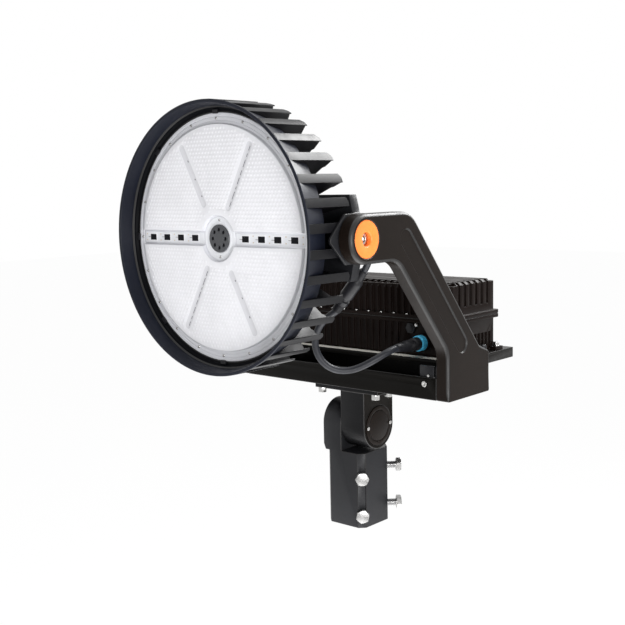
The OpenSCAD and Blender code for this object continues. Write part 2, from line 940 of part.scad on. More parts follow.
// An angle plate in the end of the beam: the tab lies behind the beam's front wall, and the
// plate along the arm carries the tray's side.
module end_bracket() {
    tab_w = 34;
    slot_w = 3.5;
    tab_y = beam_y + beam_wall;
    difference() {
        union() {
            box([beam_end_x - tab_w, tab_y, beam_z + beam_wall], [beam_end_x, tab_y + bracket_t, tray_top]);
            box([beam_end_x - bracket_t, tab_y, beam_z + beam_wall],
                [beam_end_x, beam_y + beam_w - beam_wall, tray_top]);
        }
        beam_screw_places()
            cylinder_y(3.05, tab_y - 1, tab_y + bracket_t + 1, 0, 0);
        arm_bolt_places()
            cylinder_x(5.05, beam_end_x - bracket_t - 1, beam_end_x + 1, 0, 0);
        tray_screw_places()
            cylinder_x(2.55, beam_end_x - bracket_t - 1, beam_end_x + 1, 0, 0);
        box([beam_end_x - bracket_t - slot_w, tab_y - 1, beam_top + 1],
            [beam_end_x - bracket_t, tab_y + bracket_t + 1, tray_top + 1]);
    }
}

module end_brackets() {
    color(black)
        both_sides()
            end_bracket();
}

module beam_screws() {
    inside = beam_y + beam_wall + bracket_t;
    color(steel)
        both_sides() {
            beam_screw_places() {
                difference() {
                    cylinder_y(4.6, beam_y - 3.5, beam_y, 0, 0);
                    translate([0, beam_y - 4, 0])
                        rotate([-90, 0, 0])
                            hexagon(4, 3);
                }
                cylinder_y(3, beam_y, inside + 6, 0, 0);
                translate([0, inside, 0])
                    rotate([-90, 0, 0])
                        hexagon(10, 5);
            }
            translate([beam_end_x - small_screw_in, beam_y + beam_wall - 2, beam_top + 2.5])
                rotate([-90, 0, 0])
                    cylinder(r = 2.2, h = 2, $fn = 24);
        }
}

module arm_bolt_places() {
    for (y = [beam_y + 24, beam_y + beam_w - 24])
        translate([0, y, beam_z + 18])
            children();
}

module arm_bolts() {
    color(steel)
        both_sides()
            arm_bolt_places() {
                cylinder_x(5, beam_end_x - bracket_t, arm_x + 13, 0, 0);
                translate([beam_end_x - bracket_t - 6.4, 0, 0])
                    rotate([0, 90, 0])
                        hexagon(16, 6.4);
            }
}

module driver_tray() {
    color(black)
        difference() {
            union() {
                box([-tray_end_x, tray_y, tray_top - tray_t], [tray_end_x, tray_y + tray_w, tray_top]);
                box([-tray_end_x, tray_y, tray_top - tray_lip_h], [tray_end_x, tray_y + tray_t, tray_top]);
                box([-tray_end_x, tray_y + tray_w - tray_t, tray_top - tray_side_h],
                    [tray_end_x, tray_y + tray_w, tray_top]);
                both_sides()
                    box([tray_end_x - tray_t, tray_y, tray_top - tray_side_h],
                        [tray_end_x, tray_y + tray_w, tray_top]);
            }
            both_sides()
                tray_screw_places()
                    cylinder_x(2.55, tray_end_x - tray_t - 1, tray_end_x + 1, 0, 0);
            foot_places()
                translate([0, 0, tray_top - tray_t - 1])
                    cylinder(r = 3.2, h = tray_t + 2, $fn = 32);
        }
}

module tray_screw_places() {
    for (y = [tray_y + 12, beam_y + beam_w - beam_wall - 10])
        translate([0, y, tray_top - 10])
            children();
}

module tray_screws() {
    color(steel)
        both_sides()
            tray_screw_places() {
                cylinder_x(2.5, tray_end_x - tray_t - 3, beam_end_x, 0, 0);
                cylinder_x(4.4, tray_end_x - tray_t - 6, tray_end_x - tray_t, 0, 0);
            }
}

module foot_places() {
    for (x = [-1, 1], y = [driver_y + foot_inset, driver_rear - foot_inset])
        translate([x * (driver_x + foot_l / 2), y, 0])
            children();
}

// Ribs that stand on a front or rear face, between two heights.
module face_ribs(from_x, to_x, face_y, out, low, high) {
    count = floor((to_x - from_x - rib_t) / rib_pitch);
    y0 = out > 0 ? face_y : face_y + out;
    for (i = [0:count])
        box([from_x + i * rib_pitch, y0, low], [from_x + i * rib_pitch + rib_t, y0 + abs(out), high]);
}

// Grooves cut into the end faces.
module end_grooves(first_y, count, pitch, low, high, groove_in) {
    groove_w = 7;
    both_sides()
        for (i = [0:count - 1])
            box([driver_x - groove_in, first_y + i * pitch, low],
                [driver_x + 1, first_y + i * pitch + groove_w, high]);
}

// Places in every second gap between the ribs, on the front and rear edges of the seal flange.
module housing_screw_places() {
    for (gap = [0:2:rib_count - 1], y = [driver_y - seal_lip / 2, driver_rear + seal_lip / 2])
        translate([first_rib_x + (gap + 0.5) * rib_pitch + rib_t / 2, y, 0])
            children();
}

module driver_case() {
    color(satin_black)
        difference() {
            union() {
                round_box([-driver_x, driver_y, tray_top], [driver_x, driver_rear, seal_z], corner_r);
                round_box([-driver_x - seal_lip, driver_y - seal_lip, seal_z - seal_flange_t],
                          [driver_x + seal_lip, driver_rear + seal_lip, seal_z], corner_r);
                face_ribs(first_rib_x, panel_left_x, driver_y, -rib_out, tray_top + 2, seal_z - 1);
                face_ribs(first_rib_x, -first_rib_x, driver_rear, rib_out, tray_top + 2, seal_z - 1);
                foot_places()
                    translate([-foot_l / 2 - 1, -foot_w / 2, tray_top])
                        cube([foot_l + 1, foot_w, foot_t]);
                for (x = [-1, 1], y = [driver_y + 20, driver_rear - 20])
                    translate([x * (driver_x - 24), y, tray_top])
                        cylinder(r = 5, h = board_z - tray_top);
            }
            difference() {
                round_box([-driver_x + case_wall, driver_y + case_wall, floor_z],
                          [driver_x - case_wall, driver_rear - case_wall, seal_z + 1], corner_r - 3);
                for (x = [-1, 1], y = [driver_y + 20, driver_rear - 20])
                    translate([x * (driver_x - 24), y, tray_top])
                        cylinder(r = 5, h = board_z - tray_top);
            }
            end_grooves(driver_y + 66, 5, 11, tray_top + 4, tray_top + 32, 3);
            foot_places()
                translate([0, 0, tray_top - 1])
                    cylinder(r = 3.2, h = foot_t + 2, $fn = 32);
            housing_screw_places()
                translate([0, 0, seal_z - seal_flange_t - 1])
                    cylinder(r = flange_screw_r + 0.05, h = seal_flange_t + 2, $fn = 24);
            cylinder_y(9.2, driver_y - 1, driver_y + case_wall + 1, plug_x, plug_z);
            cylinder_y(7.2, driver_y - 1, driver_y + case_wall + 1, supply_x, supply_z);
            cylinder_y(2.55, driver_y - 1, driver_y + case_wall + 1, panel_screw_x, panel_screw_z);
        }
}

module driver_gasket() {
    color([0.15, 0.15, 0.15])
        difference() {
            round_box([-driver_x - seal_lip + 1, driver_y - seal_lip + 1, seal_z],
                      [driver_x + seal_lip - 1, driver_rear + seal_lip - 1, cover_z], corner_r - 1);
            round_box([-driver_x + case_wall, driver_y + case_wall, seal_z - 1],
                      [driver_x - case_wall, driver_rear - case_wall, cover_z + 1], corner_r - 3);
            housing_screw_places()
                translate([0, 0, seal_z - 1])
                    cylinder(r = flange_screw_r + 0.05, h = seal_t + 2, $fn = 24);
        }
}

// A rib of the upper housing: it climbs the front face, slants back and meets the raised top.
module cover_rib(face_y, direction, x) {
    slab_x(x, x + rib_t)
        polygon([
            [face_y + direction * 3, cover_z + seal_flange_t - 1],
            [face_y - direction * rib_out, cover_z + seal_flange_t - 1],
            [face_y - direction * rib_out, cover_top - 5.5],
            [face_y + direction * 6, cover_top + 3.5],
            [face_y + direction * 17, cover_top + 3.5],
            [face_y + direction * 17, cover_top - 1],
            [face_y + direction * 3, cover_top - 1]
        ]);
}

module driver_cover() {
    plateau_front = driver_y + 16;
    plateau_rear = driver_rear - 16;
    plateau_z = cover_top + plateau_h;
    color(satin_black)
        difference() {
            union() {
                round_box([-driver_x, driver_y, cover_z], [driver_x, driver_rear, cover_top], corner_r);
                round_box([-driver_x - seal_lip, driver_y - seal_lip, cover_z],
                          [driver_x + seal_lip, driver_rear + seal_lip, cover_z + seal_flange_t], corner_r);
                rotate([90, 0, 0])
                    translate([0, 0, -plateau_rear])
                        linear_extrude(plateau_rear - plateau_front)
                            polygon([
                                [-driver_x, cover_top - 1], [driver_x, cover_top - 1],
                                [driver_x, cover_top], [driver_x - plateau_h - 1, plateau_z],
                                [-driver_x + plateau_h + 1, plateau_z], [-driver_x, cover_top]
                            ]);
                for (i = [0:rib_count]) {
                    cover_rib(driver_y, 1, first_rib_x + i * rib_pitch);
                    cover_rib(driver_rear, -1, first_rib_x + i * rib_pitch);
                }
            }
            round_box([-driver_x + case_wall, driver_y + case_wall, cover_z - 1],
                      [driver_x - case_wall, driver_rear - case_wall, cover_top - case_wall], corner_r - 3);
            end_grooves(driver_y + 19, 6, 16.9, cover_z + 19, plateau_z + 1, 3);
            end_grooves(driver_y + 19, 6, 16.9, cover_top + 0.8, plateau_z + 1, 16);
            housing_screw_places()
                translate([0, 0, cover_z - 1])
                    cylinder(r = flange_screw_r + 0.05, h = seal_flange_t + 2, $fn = 24);
        }
}

module cover_screws() {
    color(steel)
        housing_screw_places() {
            translate([0, 0, seal_z - seal_flange_t])
                cylinder(r = flange_screw_r, h = 2 * seal_flange_t + seal_t, $fn = 24);
            translate([0, 0, cover_z + seal_flange_t])
                cylinder(r = 2.6, h = 1.8, $fn = 24);
        }
}

module driver_board() {
    inset = 2;
    color([0.1, 0.35, 0.15])
        box([-driver_x + case_wall + inset, driver_y + case_wall + inset, board_z],
            [driver_x - case_wall - inset, driver_rear - case_wall - inset, board_z + driver_board_t]);
}

module driver_coils() {
    y = (driver_y + driver_rear) / 2;
    color([0.55, 0.35, 0.15]) {
        box([-130, y - 26, board_top], [-78, y + 26, board_top + 42]);
        box([-2, y - 24, board_top], [46, y + 24, board_top + 38]);
        translate([-40, y, board_top])
            difference() {
                cylinder(r = 22, h = 24);
                translate([0, 0, -1])
                    cylinder(r = 8, h = 26);
            }
    }
}

module driver_capacitors() {
    y = (driver_y + driver_rear) / 2;
    color([0.15, 0.2, 0.4])
        for (x = [driver_x - 92, driver_x - 60, driver_x - 28], dy = [-22, 22])
            translate([x, y + dy, board_top])
                cylinder(r = 12.5, h = 42);
}

module driver_heatsinks() {
    color([0.7, 0.7, 0.72])
        for (y = [driver_y + case_wall + 8, driver_rear - case_wall - 12])
            box([-100, y, board_top], [60, y + 4, board_top + 36]);
}

module foot_bolts() {
    nut_h = 5;
    washer_t = 1.5;
    color(steel)
        foot_places() {
            translate([0, 0, tray_top - tray_t - nut_h - 2])
                cylinder(r = 3, h = tray_t + foot_t + nut_h + 3, $fn = 32);
            translate([0, 0, tray_top + foot_t])
                cylinder(r = 6, h = washer_t, $fn = 32);
            translate([0, 0, tray_top + foot_t + washer_t])
                hexagon(10, 6);
            translate([0, 0, tray_top - tray_t - nut_h])
                rotate([0, 0, 30])
                    hexagon(10, nut_h);
        }
}

module ground_post() {
    color(black)
        translate([tray_end_x - 9, driver_y + driver_w * 0.64, tray_top]) {
            cylinder(r = post_r, h = 12);
            translate([0, 0, 12])
                cylinder(r1 = post_r, r2 = post_r - 2, h = 2);
        }
}

module panel_connector() {
    color(black)
        difference() {
            union() {
                cylinder_y(9, driver_y - 1, driver_y + case_wall + 1, plug_x, plug_z);
                cylinder_y(13.5, driver_y - 3, driver_y, plug_x, plug_z);
                cylinder_y(8, plug_start + 0.2, driver_y - 3, plug_x, plug_z);
            }
            cylinder_y(5, plug_start - 1, driver_y + case_wall, plug_x, plug_z);
        }
}

module panel_screw() {
    color(steel) {
        cylinder_y(2.5, driver_y, driver_y + case_wall + 6, panel_screw_x, panel_screw_z);
        taper_y(2.8, 3.9, driver_y - 3, driver_y, panel_screw_x, panel_screw_z);
    }
}

module supply_gland() {
    color(black) {
        cylinder_y(7, driver_y, driver_y + case_wall + 4, supply_x, supply_z);
        translate([supply_x, driver_y, supply_z])
            rotate([90, 0, 0])
                hexagon(17, 3);
        cylinder_y(6, driver_y - 4.5, driver_y - 3, supply_x, supply_z);
    }
}

module coupling_ring() {
    ring_y = driver_y - 3 - seat - ring_l;
    color([0.05, 0.45, 0.85])
        difference() {
            cylinder_y(ring_d / 2, ring_y, ring_y + ring_l, plug_x, plug_z);
            cylinder_y(plug_r + seat, ring_y - 1, plug_start + seat, plug_x, plug_z);
            cylinder_y(9, ring_y - 1, ring_y + ring_l + 1, plug_x, plug_z);
        }
}

module plug() {
    shoulder = 24;
    middle = 20;
    tail = plug_l - shoulder - middle;
    color(black) {
        cylinder_y(plug_r, plug_start - shoulder, plug_start, plug_x, plug_z);
        cylinder_y(plug_r - 1.5, plug_start - shoulder - middle, plug_start - shoulder, plug_x, plug_z);
        taper_y(cable_d / 2 + 1, plug_r - 2.5, plug_end, plug_end + tail, plug_x, plug_z);
    }
}

module power_cable() {
    color(black)
        tube(power_route, cable_d);
}

// Slip fitter.
module knuckle() {
    color(satin_black)
        difference() {
            union() {
                cylinder_x(knuckle_r, block_left_x, block_right_x, 0, knuckle_z);
                box([block_left_x, -knuckle_r, knuckle_z], [block_right_x, knuckle_r, plate_z + 1]);
                box([plate_left_x, -plate_half_y, plate_z], [plate_right_x, plate_half_y, beam_z]);
            }
            cylinder_x(knuckle_bolt_r + running, block_left_x - 1, block_right_x + 1, 0, knuckle_z);
            cylinder_x(knuckle_nut_r + 1, knuckle_nut_x, block_right_x + 1, 0, knuckle_z);
            cylinder_x(knuckle_cover_r + seat, block_right_x - 3, block_right_x + 1, 0, knuckle_z);
            knuckle_cover_screw_places()
                cylinder_x(2.05, block_right_x - 14, block_right_x + 1, 0, 0);
            flange_bolt_places()
                translate([0, 0, plate_z - 1])
                    cylinder(r = 4.3, h = flange_plate_t + 2, $fn = 32);
        }
}

module flange_bolt_places() {
    for (x = flange_bolt_x, y = flange_bolt_y)
        translate([x, y, 0])
            children();
}

module flange_bolts() {
    head_h = 9;
    color(steel)
        flange_bolt_places() {
            translate([0, 0, plate_z - head_h])
                hexagon(13, head_h);
            translate([0, 0, plate_z])
                cylinder(r = 4, h = flange_plate_t + beam_wall + 9, $fn = 32);
            translate([0, 0, beam_z + beam_wall])
                hexagon(13, 6.5);
        }
}

module knuckle_cover_screw_places() {
    for (s = [-1, 1])
        translate([0, s * cover_screw_r, knuckle_z])
            children();
}

module knuckle_cover() {
    color(satin_black)
        difference() {
            cylinder_x(knuckle_cover_r, block_right_x - 3, block_right_x + 1, 0, knuckle_z);
            knuckle_cover_screw_places()
                cylinder_x(2.2, block_right_x - 4, block_right_x + 2, 0, 0);
            difference() {
                cylinder_x(cover_groove_r, block_right_x + 0.2, block_right_x + 2, 0, knuckle_z);
                cylinder_x(cover_groove_r - 1, block_right_x, block_right_x + 3, 0, knuckle_z);
            }
        }
}

module knuckle_cover_screws() {
    color(steel)
        knuckle_cover_screw_places() {
            cylinder_x(2, block_right_x - 12, block_right_x + 1, 0, 0);
            cylinder_x(3.2, block_right_x + 1, block_right_x + 2.6, 0, 0);
        }
}

module socket_outline() {
    polygon([
        [-socket_half + leg, -socket_half], [socket_half - leg, -socket_half],
        [socket_half, -socket_half + leg], [socket_half, socket_half - leg],
        [socket_half - leg, socket_half], [-socket_half + leg, socket_half],
        [-socket_half, socket_half - leg], [-socket_half, -socket_half + leg]
    ]);
}

module slip_fitter() {
    ear_low = socket_h - 2;
    chamfer = -socket_half - ear_left_x;
    color(satin_black)
        difference() {
            union() {
                intersection() {
                    linear_extrude(socket_rear_h)
                        socket_outline();
                    slab_x(-socket_half, socket_half)
                        polygon([
                            [-socket_half, 0], [socket_half, 0],
                            [socket_half, socket_rear_h], [-socket_half, socket_h]
                        ]);
                }
                cylinder_x(knuckle_r, ear_left_x, ear_right_x, 0, knuckle_z);
                rotate([90, 0, 0])
                    translate([0, 0, -knuckle_r])
                        linear_extrude(2 * knuckle_r)
                            polygon([
                                [-socket_half + leg, ear_low - 20], [ear_right_x, ear_low - 20],
                                [ear_right_x, knuckle_z], [ear_left_x, knuckle_z],
                                [ear_left_x, ear_low + chamfer + 6], [-socket_half, ear_low],
                                [-socket_half + leg, ear_low]
                            ]);
            }
            translate([0, 0, -1])
                cylinder(r = bore_r, h = tenon_depth + 1);
            cylinder_x(knuckle_bolt_r + running, ear_left_x - 1, ear_right_x + 1, 0, knuckle_z);
            clamp_places()
                cylinder(r = clamp_r + 0.05, h = 80);
        }
}

// Clamp bolts stand on the socket's corners. Each place has +Z pointing out of its corner.
module clamp_places() {
    for (z = clamp_front)
        translate([0, 0, z])
            rotate([0, 90, -45])
                children();
    for (z = clamp_side)
        translate([0, 0, z])
            rotate([0, 90, 45])
                children();
}

module clamp_bolt(out) {
    translate([0, 0, out - clamp_head_l])
        hexagon(clamp_af, clamp_head_l);
    translate([0, 0, max(out - clamp_head_l - clamp_shank_l, bore_r + seat)])
        cylinder(r = clamp_r, h = min(clamp_shank_l, out - clamp_head_l - bore_r - seat));
}

module clamp_bolts() {
    color(steel) {
        for (z = clamp_front)
            translate([0, 0, z])
                rotate([0, 90, -45])
                    clamp_bolt(clamp_front_out);
        for (z = clamp_side)
            translate([0, 0, z])
                rotate([0, 90, 45])
                    clamp_bolt(clamp_side_out);
    }
}

module knuckle_bolt() {
    color(steel) {
        cylinder_x(knuckle_bolt_r, ear_left_x, knuckle_nut_x + 12, 0, knuckle_z);
        translate([ear_left_x - 10, 0, knuckle_z])
            rotate([0, 90, 0])
                hexagon(24, 10);
        translate([knuckle_nut_x + 1, 0, knuckle_z])
            rotate([0, 90, 0])
                hexagon(24, 10);
    }
}

shroud();
lens_plate();
lens_clips();
lens_screws();
lens_gasket();
vent_cap();
vent_membrane();
led_boards();
led_chips();
heat_base();
base_screws();
fins();
rear_bar();
bar_bolts();
ear_plates();
ear_screws();
pivot_bolts();
head_gland();
head_cable();
inline_connector();
arm_right();
arm_left();
pivot_bushes();
pivot_discs();
crossbeam();
end_brackets();
beam_screws();
arm_bolts();
driver_tray();
tray_screws();
driver_case();
driver_cover();
driver_gasket();
cover_screws();
driver_board();
driver_coils();
driver_capacitors();
driver_heatsinks();
foot_bolts();
ground_post();
panel_connector();
panel_screw();
supply_gland();
coupling_ring();
plug();
power_cable();
knuckle();
flange_bolts();
knuckle_cover();
knuckle_cover_screws();
slip_fitter();
knuckle_bolt();
clamp_bolts();
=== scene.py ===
"""Round LED flood light in its yoke bracket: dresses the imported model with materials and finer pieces."""

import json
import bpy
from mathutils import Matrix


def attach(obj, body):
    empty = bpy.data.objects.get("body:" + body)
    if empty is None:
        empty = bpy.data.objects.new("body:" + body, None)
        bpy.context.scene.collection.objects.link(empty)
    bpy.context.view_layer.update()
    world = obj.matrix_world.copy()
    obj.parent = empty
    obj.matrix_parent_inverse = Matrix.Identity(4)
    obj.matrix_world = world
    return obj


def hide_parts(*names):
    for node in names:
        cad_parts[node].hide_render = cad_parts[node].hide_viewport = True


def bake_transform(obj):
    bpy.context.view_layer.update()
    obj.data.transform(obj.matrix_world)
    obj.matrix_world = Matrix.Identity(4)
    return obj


bl_info = {
    "name": "LED flood light",
    "version": (1, 0, 0),
    "blender": (4, 5, 0),
    "location": "3D View > Sidebar > Flood light",
    "description": "Finishes the pieces of a round flood light with a yoke bracket and a driver box",
    "category": "Object",
}

from math import acos, asin, atan2, ceil, copysign, cos, hypot, pi, radians, sin, sqrt, tan

import bmesh
import bpy
from bpy.props import FloatProperty, FloatVectorProperty, IntProperty, PointerProperty
from mathutils import Matrix, Vector

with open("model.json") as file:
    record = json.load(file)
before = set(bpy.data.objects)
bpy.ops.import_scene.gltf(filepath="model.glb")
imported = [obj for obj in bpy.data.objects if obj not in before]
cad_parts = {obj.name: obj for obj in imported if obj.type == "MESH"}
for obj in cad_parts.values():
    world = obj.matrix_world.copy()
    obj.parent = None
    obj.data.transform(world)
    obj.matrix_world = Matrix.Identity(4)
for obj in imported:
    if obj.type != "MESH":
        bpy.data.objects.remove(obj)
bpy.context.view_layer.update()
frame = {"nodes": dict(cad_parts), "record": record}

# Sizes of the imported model, in millimetres. Depths count backwards from the head's front rim.
PIVOT_Y, PIVOT_Z = -254.0, 508.0
RIM_Y = -342.0
HEAD_R, LENS_R, LENS_DEPTH = 200.0, 182.0, 28.8
FIELD_DEPTH, FIELD_R, CENTRE_R, CHANNEL_W = 23.3, 167.0, 33.0, 20.0
SPOKES, LONG_SPOKES = (62, 118, 242, 298), (62, 242)
WINDOWS = (53.1, 85.0, 116.5, 148.5)
ARM_X, ARM_OUT, BOSS_R = 205.0, 228.0, 35
LIMB_W, LIMB_SLOPE, KNEE_Y = 70, radians(50.2), -150.0
BEAM_Z, BEAM_Y, BEAM_REAR = 246.0, -58.0, 54.0
PLUG_X, PLUG_Z, RING_W = 127.0, 321.5, 12
DRIVER_Y, TRAY_TOP = 16.0, 299.0
CLAMP_AF, CLAMP_HEAD, BORE_R = 21.0, 8.4, 31.3
MM = 0.001

# Centre lines of the two cables, in millimetres.
POWER_ROUTE = [
    (127, -57, 321.5), (127, -62, 321.5), (124.5, -77.5, 317.5), (115, -94, 308.5),
    (102, -107.5, 299), (87.5, -121.5, 292.5), (73.5, -137, 293), (61, -151, 302),
    (53.5, -161, 318.5), (52.5, -166.5, 339), (60, -169, 358.5), (73.5, -170.5, 374.5),
    (91.5, -174, 385.5), (102.6, -175.8, 392.1), (108, -176, 398),
]
HEAD_ROUTE = [
    (158, -178, 453), (161.4, -178.1, 456.7), (166.5, -179.5, 462.5), (173, -182.5, 471),
    (178, -187.5, 477.5), (181.5, -193.5, 483), (184, -200, 486.5), (185.5, -210, 490),
    (185.5, -218, 490),
]


# Settings
class StageSettings(bpy.types.PropertyGroup):
    floor_z: FloatProperty(
        name="Floor height", description="Height of the pale floor", default=-0.6, unit="LENGTH")
    world_light: FloatProperty(
        name="World light", description="Strength of the even light all round", default=0.60)
    top_light: FloatProperty(
        name="Top light", description="Power of the soft lamp above", default=14.0, unit="POWER")
    back_light: FloatProperty(
        name="Back light", description="Power of the soft lamp behind and above", default=88.0, unit="POWER")
    low_light: FloatProperty(
        name="Low light", description="Power of the soft lamp below", default=18.0, unit="POWER")
    front_light: FloatProperty(
        name="Front light", description="Power of the soft lamp right of the camera", default=36.0,
        unit="POWER")


class LensSettings(bpy.types.PropertyGroup):
    pitch: FloatProperty(
        name="Lenslet pitch", description="Distance between two lenslets", default=0.0066, unit="LENGTH")
    spoke_w: FloatProperty(
        name="Spoke width", description="Width of a smooth spoke", default=0.0105, unit="LENGTH")
    tint: FloatVectorProperty(
        name="Optic colour", description="Colour of the moulded optic", default=(0.740, 0.740, 0.770),
        size=3, subtype="COLOR")


class FinSettings(bpy.types.PropertyGroup):
    count: IntProperty(name="Fins", description="Number of fins round the head", default=36)
    first: FloatProperty(
        name="First fin", description="Angle of the first fin", default=radians(3), subtype="ANGLE")
    thickness: FloatProperty(
        name="Sheet", description="Thickness of a fin's sheet", default=0.0016, unit="LENGTH")
    flange: FloatProperty(
        name="Flange", description="Width of a fin's outer flange", default=0.0133, unit="LENGTH")


class BracketSettings(bpy.types.PropertyGroup):
    edge: FloatProperty(
        name="Arm edge", description="Radius of an arm's outer edge", default=0.0062, unit="LENGTH")


class PaintSettings(bpy.types.PropertyGroup):
    black: FloatVectorProperty(
        name="Black coat", description="Colour of the powder coat", default=(0.0095, 0.0098, 0.0115),
        size=3, subtype="COLOR")
    orange: FloatVectorProperty(
        name="Disc", description="Colour of the pivot discs", default=(0.94, 0.205, 0.028),
        size=3, subtype="COLOR")
    blue: FloatVectorProperty(
        name="Ring", description="Colour of the coupling ring", default=(0.09, 0.60, 0.95),
        size=3, subtype="COLOR")


# Mesh helpers, in millimetres
def linked(name, mesh):
    obj = bpy.data.objects.new(name, mesh)
    bpy.context.scene.collection.objects.link(obj)
    return obj


def mesh_object(name, verts, faces, scale=MM, smooth=None, weld=0.0):
    """A mesh object at the origin, its faces turned outwards."""
    mesh = bpy.data.meshes.new(name)
    mesh.from_pydata([tuple(c * scale for c in v) for v in verts], [], faces)
    obj = linked(name, mesh)
    tidy(mesh, smooth, weld)
    return obj


def tidy(mesh, smooth=None, weld=0.0):
    """Welds the points, turns the faces outwards and shades them smooth below an angle in degrees."""
    bm = bmesh.new()
    bm.from_mesh(mesh)
    if weld:
        bmesh.ops.remove_doubles(bm, verts=bm.verts, dist=weld)
    bmesh.ops.recalc_face_normals(bm, faces=bm.faces)
    bm.to_mesh(mesh)
    bm.free()
    if smooth is not None:
        mesh.polygons.foreach_set("use_smooth", [True] * len(mesh.polygons))
        mesh.set_sharp_from_angle(angle=radians(smooth))


def join(parts):
    """One list of vertices and one of faces from several solids."""
    verts, faces = [], []
    for v, f in parts:
        base = len(verts)
        verts += v
        faces += [tuple(i + base for i in face) for face in f]
    return verts, faces


def loft(rings, caps=(True, True)):
    """A solid from rings of equally many points."""
    n = len(rings[0])
    verts = [p for ring in rings for p in ring]
    faces = []
    for i in range(len(rings) - 1):
        for k in range(n):
            a, b = i * n + k, i * n + (k + 1) % n
            faces.append((a, b, b + n, a + n))
    if caps[0]:
        faces.append(tuple(reversed(range(n))))
    if caps[1]:
        faces.append(tuple(range((len(rings) - 1) * n, len(rings) * n)))
    return verts, faces


def turns(steps):
    return [2 * pi * k / steps for k in range(steps)]


def ring_points(centre, u, v, r, steps):
    c, u, v = Vector(centre), Vector(u), Vector(v)
    return [tuple(c + r * (u * cos(a) + v * sin(a))) for a in turns(steps)]


def turned(profile, origin, axis, steps=64):
    """A turned solid: profile is [(distance along the axis, radius)], closed at both ends."""
    axis = Vector(axis).normalized()
    side = Vector((0, 0, 1)) if abs(axis.z) < 0.9 else Vector((0, 1, 0))
    u = axis.cross(side).normalized()
    v = axis.cross(u)
    return loft([ring_points(Vector(origin) + axis * d, u, v, max(r, 0.01), steps) for d, r in profile])


def head_lathe(profile, steps):
    """A ring round the head's axis from a closed profile of (radius, depth) points."""
    verts, faces = loft([[(r * cos(a), RIM_Y + d, PIVOT_Z + r * sin(a)) for r, d in profile]
                         for a in turns(steps)], (False, False))
    n = len(profile)
    last = (steps - 1) * n
    faces += [(last + k, last + (k + 1) % n, (k + 1) % n, k) for k in range(n)]
    return verts, faces


def radial(a):
    """The directions outwards and onwards at angle a round the head, and the rim's centre."""
    return Vector((cos(a), 0, sin(a))), Vector((-sin(a), 0, cos(a))), Vector((0, RIM_Y, PIVOT_Z))


def slab(a, outline, levels, shift=0.0):
    """A slab facing forwards at angle a round the head, from an outline of (radius, offset) points
    and from levels of (depth, inset)."""
    u, t, c = radial(a)
    mid = (min(r for r, w in outline) + max(r for r, w in outline)) / 2
    return loft([[tuple(c + u * (r - copysign(inset, r - mid)) + t * (w + shift - copysign(inset, w))
                        + Vector((0, d, 0))) for r, w in outline] for d, inset in levels])


def oblong(r0, r1, half):
    return [(r0, -half), (r1, -half), (r1, half), (r0, half)]


def bevelled(points, r, steps=4):
    """A closed outline with its corners rounded by radius r, or by the radius in the point."""
    out = []
    n = len(points)
    for i, p in enumerate(points):
        rad = p[2] if len(p) > 2 else r
        a, b, c = Vector(points[i - 1][:2]), Vector(p[:2]), Vector(points[(i + 1) % n][:2])
        u, v = (a - b), (c - b)
        if rad <= 0 or u.length < 1e-6 or v.length < 1e-6:
            out.append(tuple(b))
            continue
        u.normalize()
        v.normalize()
        half = acos(max(-1, min(1, u.dot(v)))) / 2
        if half > radians(88.5) or half < 0.01:
            out.append(tuple(b))
            continue
        centre = b + (u + v).normalized() * rad / sin(half)
        p0, p1 = b + u * rad / tan(half) - centre, b + v * rad / tan(half) - centre
        a0 = atan2(p0.y, p0.x)
        sweep = (atan2(p1.y, p1.x) - a0 + pi) % (2 * pi) - pi
        out += [(centre.x + rad * cos(a0 + sweep * k / steps), centre.y + rad * sin(a0 + sweep * k / steps))
                for k in range(steps + 1)]
    return out


def smooth_route(points, per_span=6):
    """A Catmull-Rom curve through the points, in metres."""
    pts = [Vector(p) for p in points]
    pts = [2 * pts[0] - pts[1]] + pts + [2 * pts[-1] - pts[-2]]
    out = []
    for i in range(1, len(pts) - 2):
        a, b, c, d = pts[i - 1:i + 3]
        for k in range(per_span):
            t = k / per_span
            out.append(0.5 * ((2 * b) + (c - a) * t + (2 * a - 5 * b + 4 * c - d) * t * t
                              + (3 * b - a - 3 * c + d) * t ** 3))
    out.append(pts[-2])
    return [p * MM for p in out]


def tube(name, path, radius, steps=24):
    """A round tube along a path, both in metres."""
    rings = []
    ref = Vector((0.25, 0.75, -0.6))
    for i, p in enumerate(path):
        t = (path[min(i + 1, len(path) - 1)] - path[max(i - 1, 0)]).normalized()
        ref = (ref - t * ref.dot(t)).normalized()
        rings.append(ring_points(p, ref, t.cross(ref), radius, steps))
    return mesh_object(name, *loft(rings), scale=1.0, smooth=50)


# Finished pieces
# The finishes by name, filled in by main.
COATS = {}


def finish(obj, body, coat=None, replaces=()):
    """Puts the object on its body, in one finish or in those that it has."""
    if coat:
        coated(obj, coat)
    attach(obj, body)
    if replaces:
        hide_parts(*replaces)
    return obj


def coated(obj, *coats):
    obj.data.materials.clear()
    for coat in coats:
        obj.data.materials.append(COATS[coat])
    return obj.data.polygons


def piece(name, solid, body, coat, replaces=(), smooth=None, weld=0.0):
    """A finished object from a solid's vertices and faces."""
    return finish(mesh_object(name, *solid, smooth=smooth, weld=weld), body, coat, replaces)


def baked(obj):
    """The object's evaluated mesh as a plain object, its modifiers gone."""
    bpy.context.view_layer.update()
    depsgraph = bpy.context.evaluated_depsgraph_get()
    mesh = bpy.data.meshes.new_from_object(obj.evaluated_get(depsgraph), preserve_all_data_layers=True,
                                           depsgraph=depsgraph)
    obj.modifiers.clear()
    old = obj.data
    obj.data = mesh
    mesh.name = obj.name
    if old.users == 0:
        bpy.data.meshes.remove(old)
    return obj


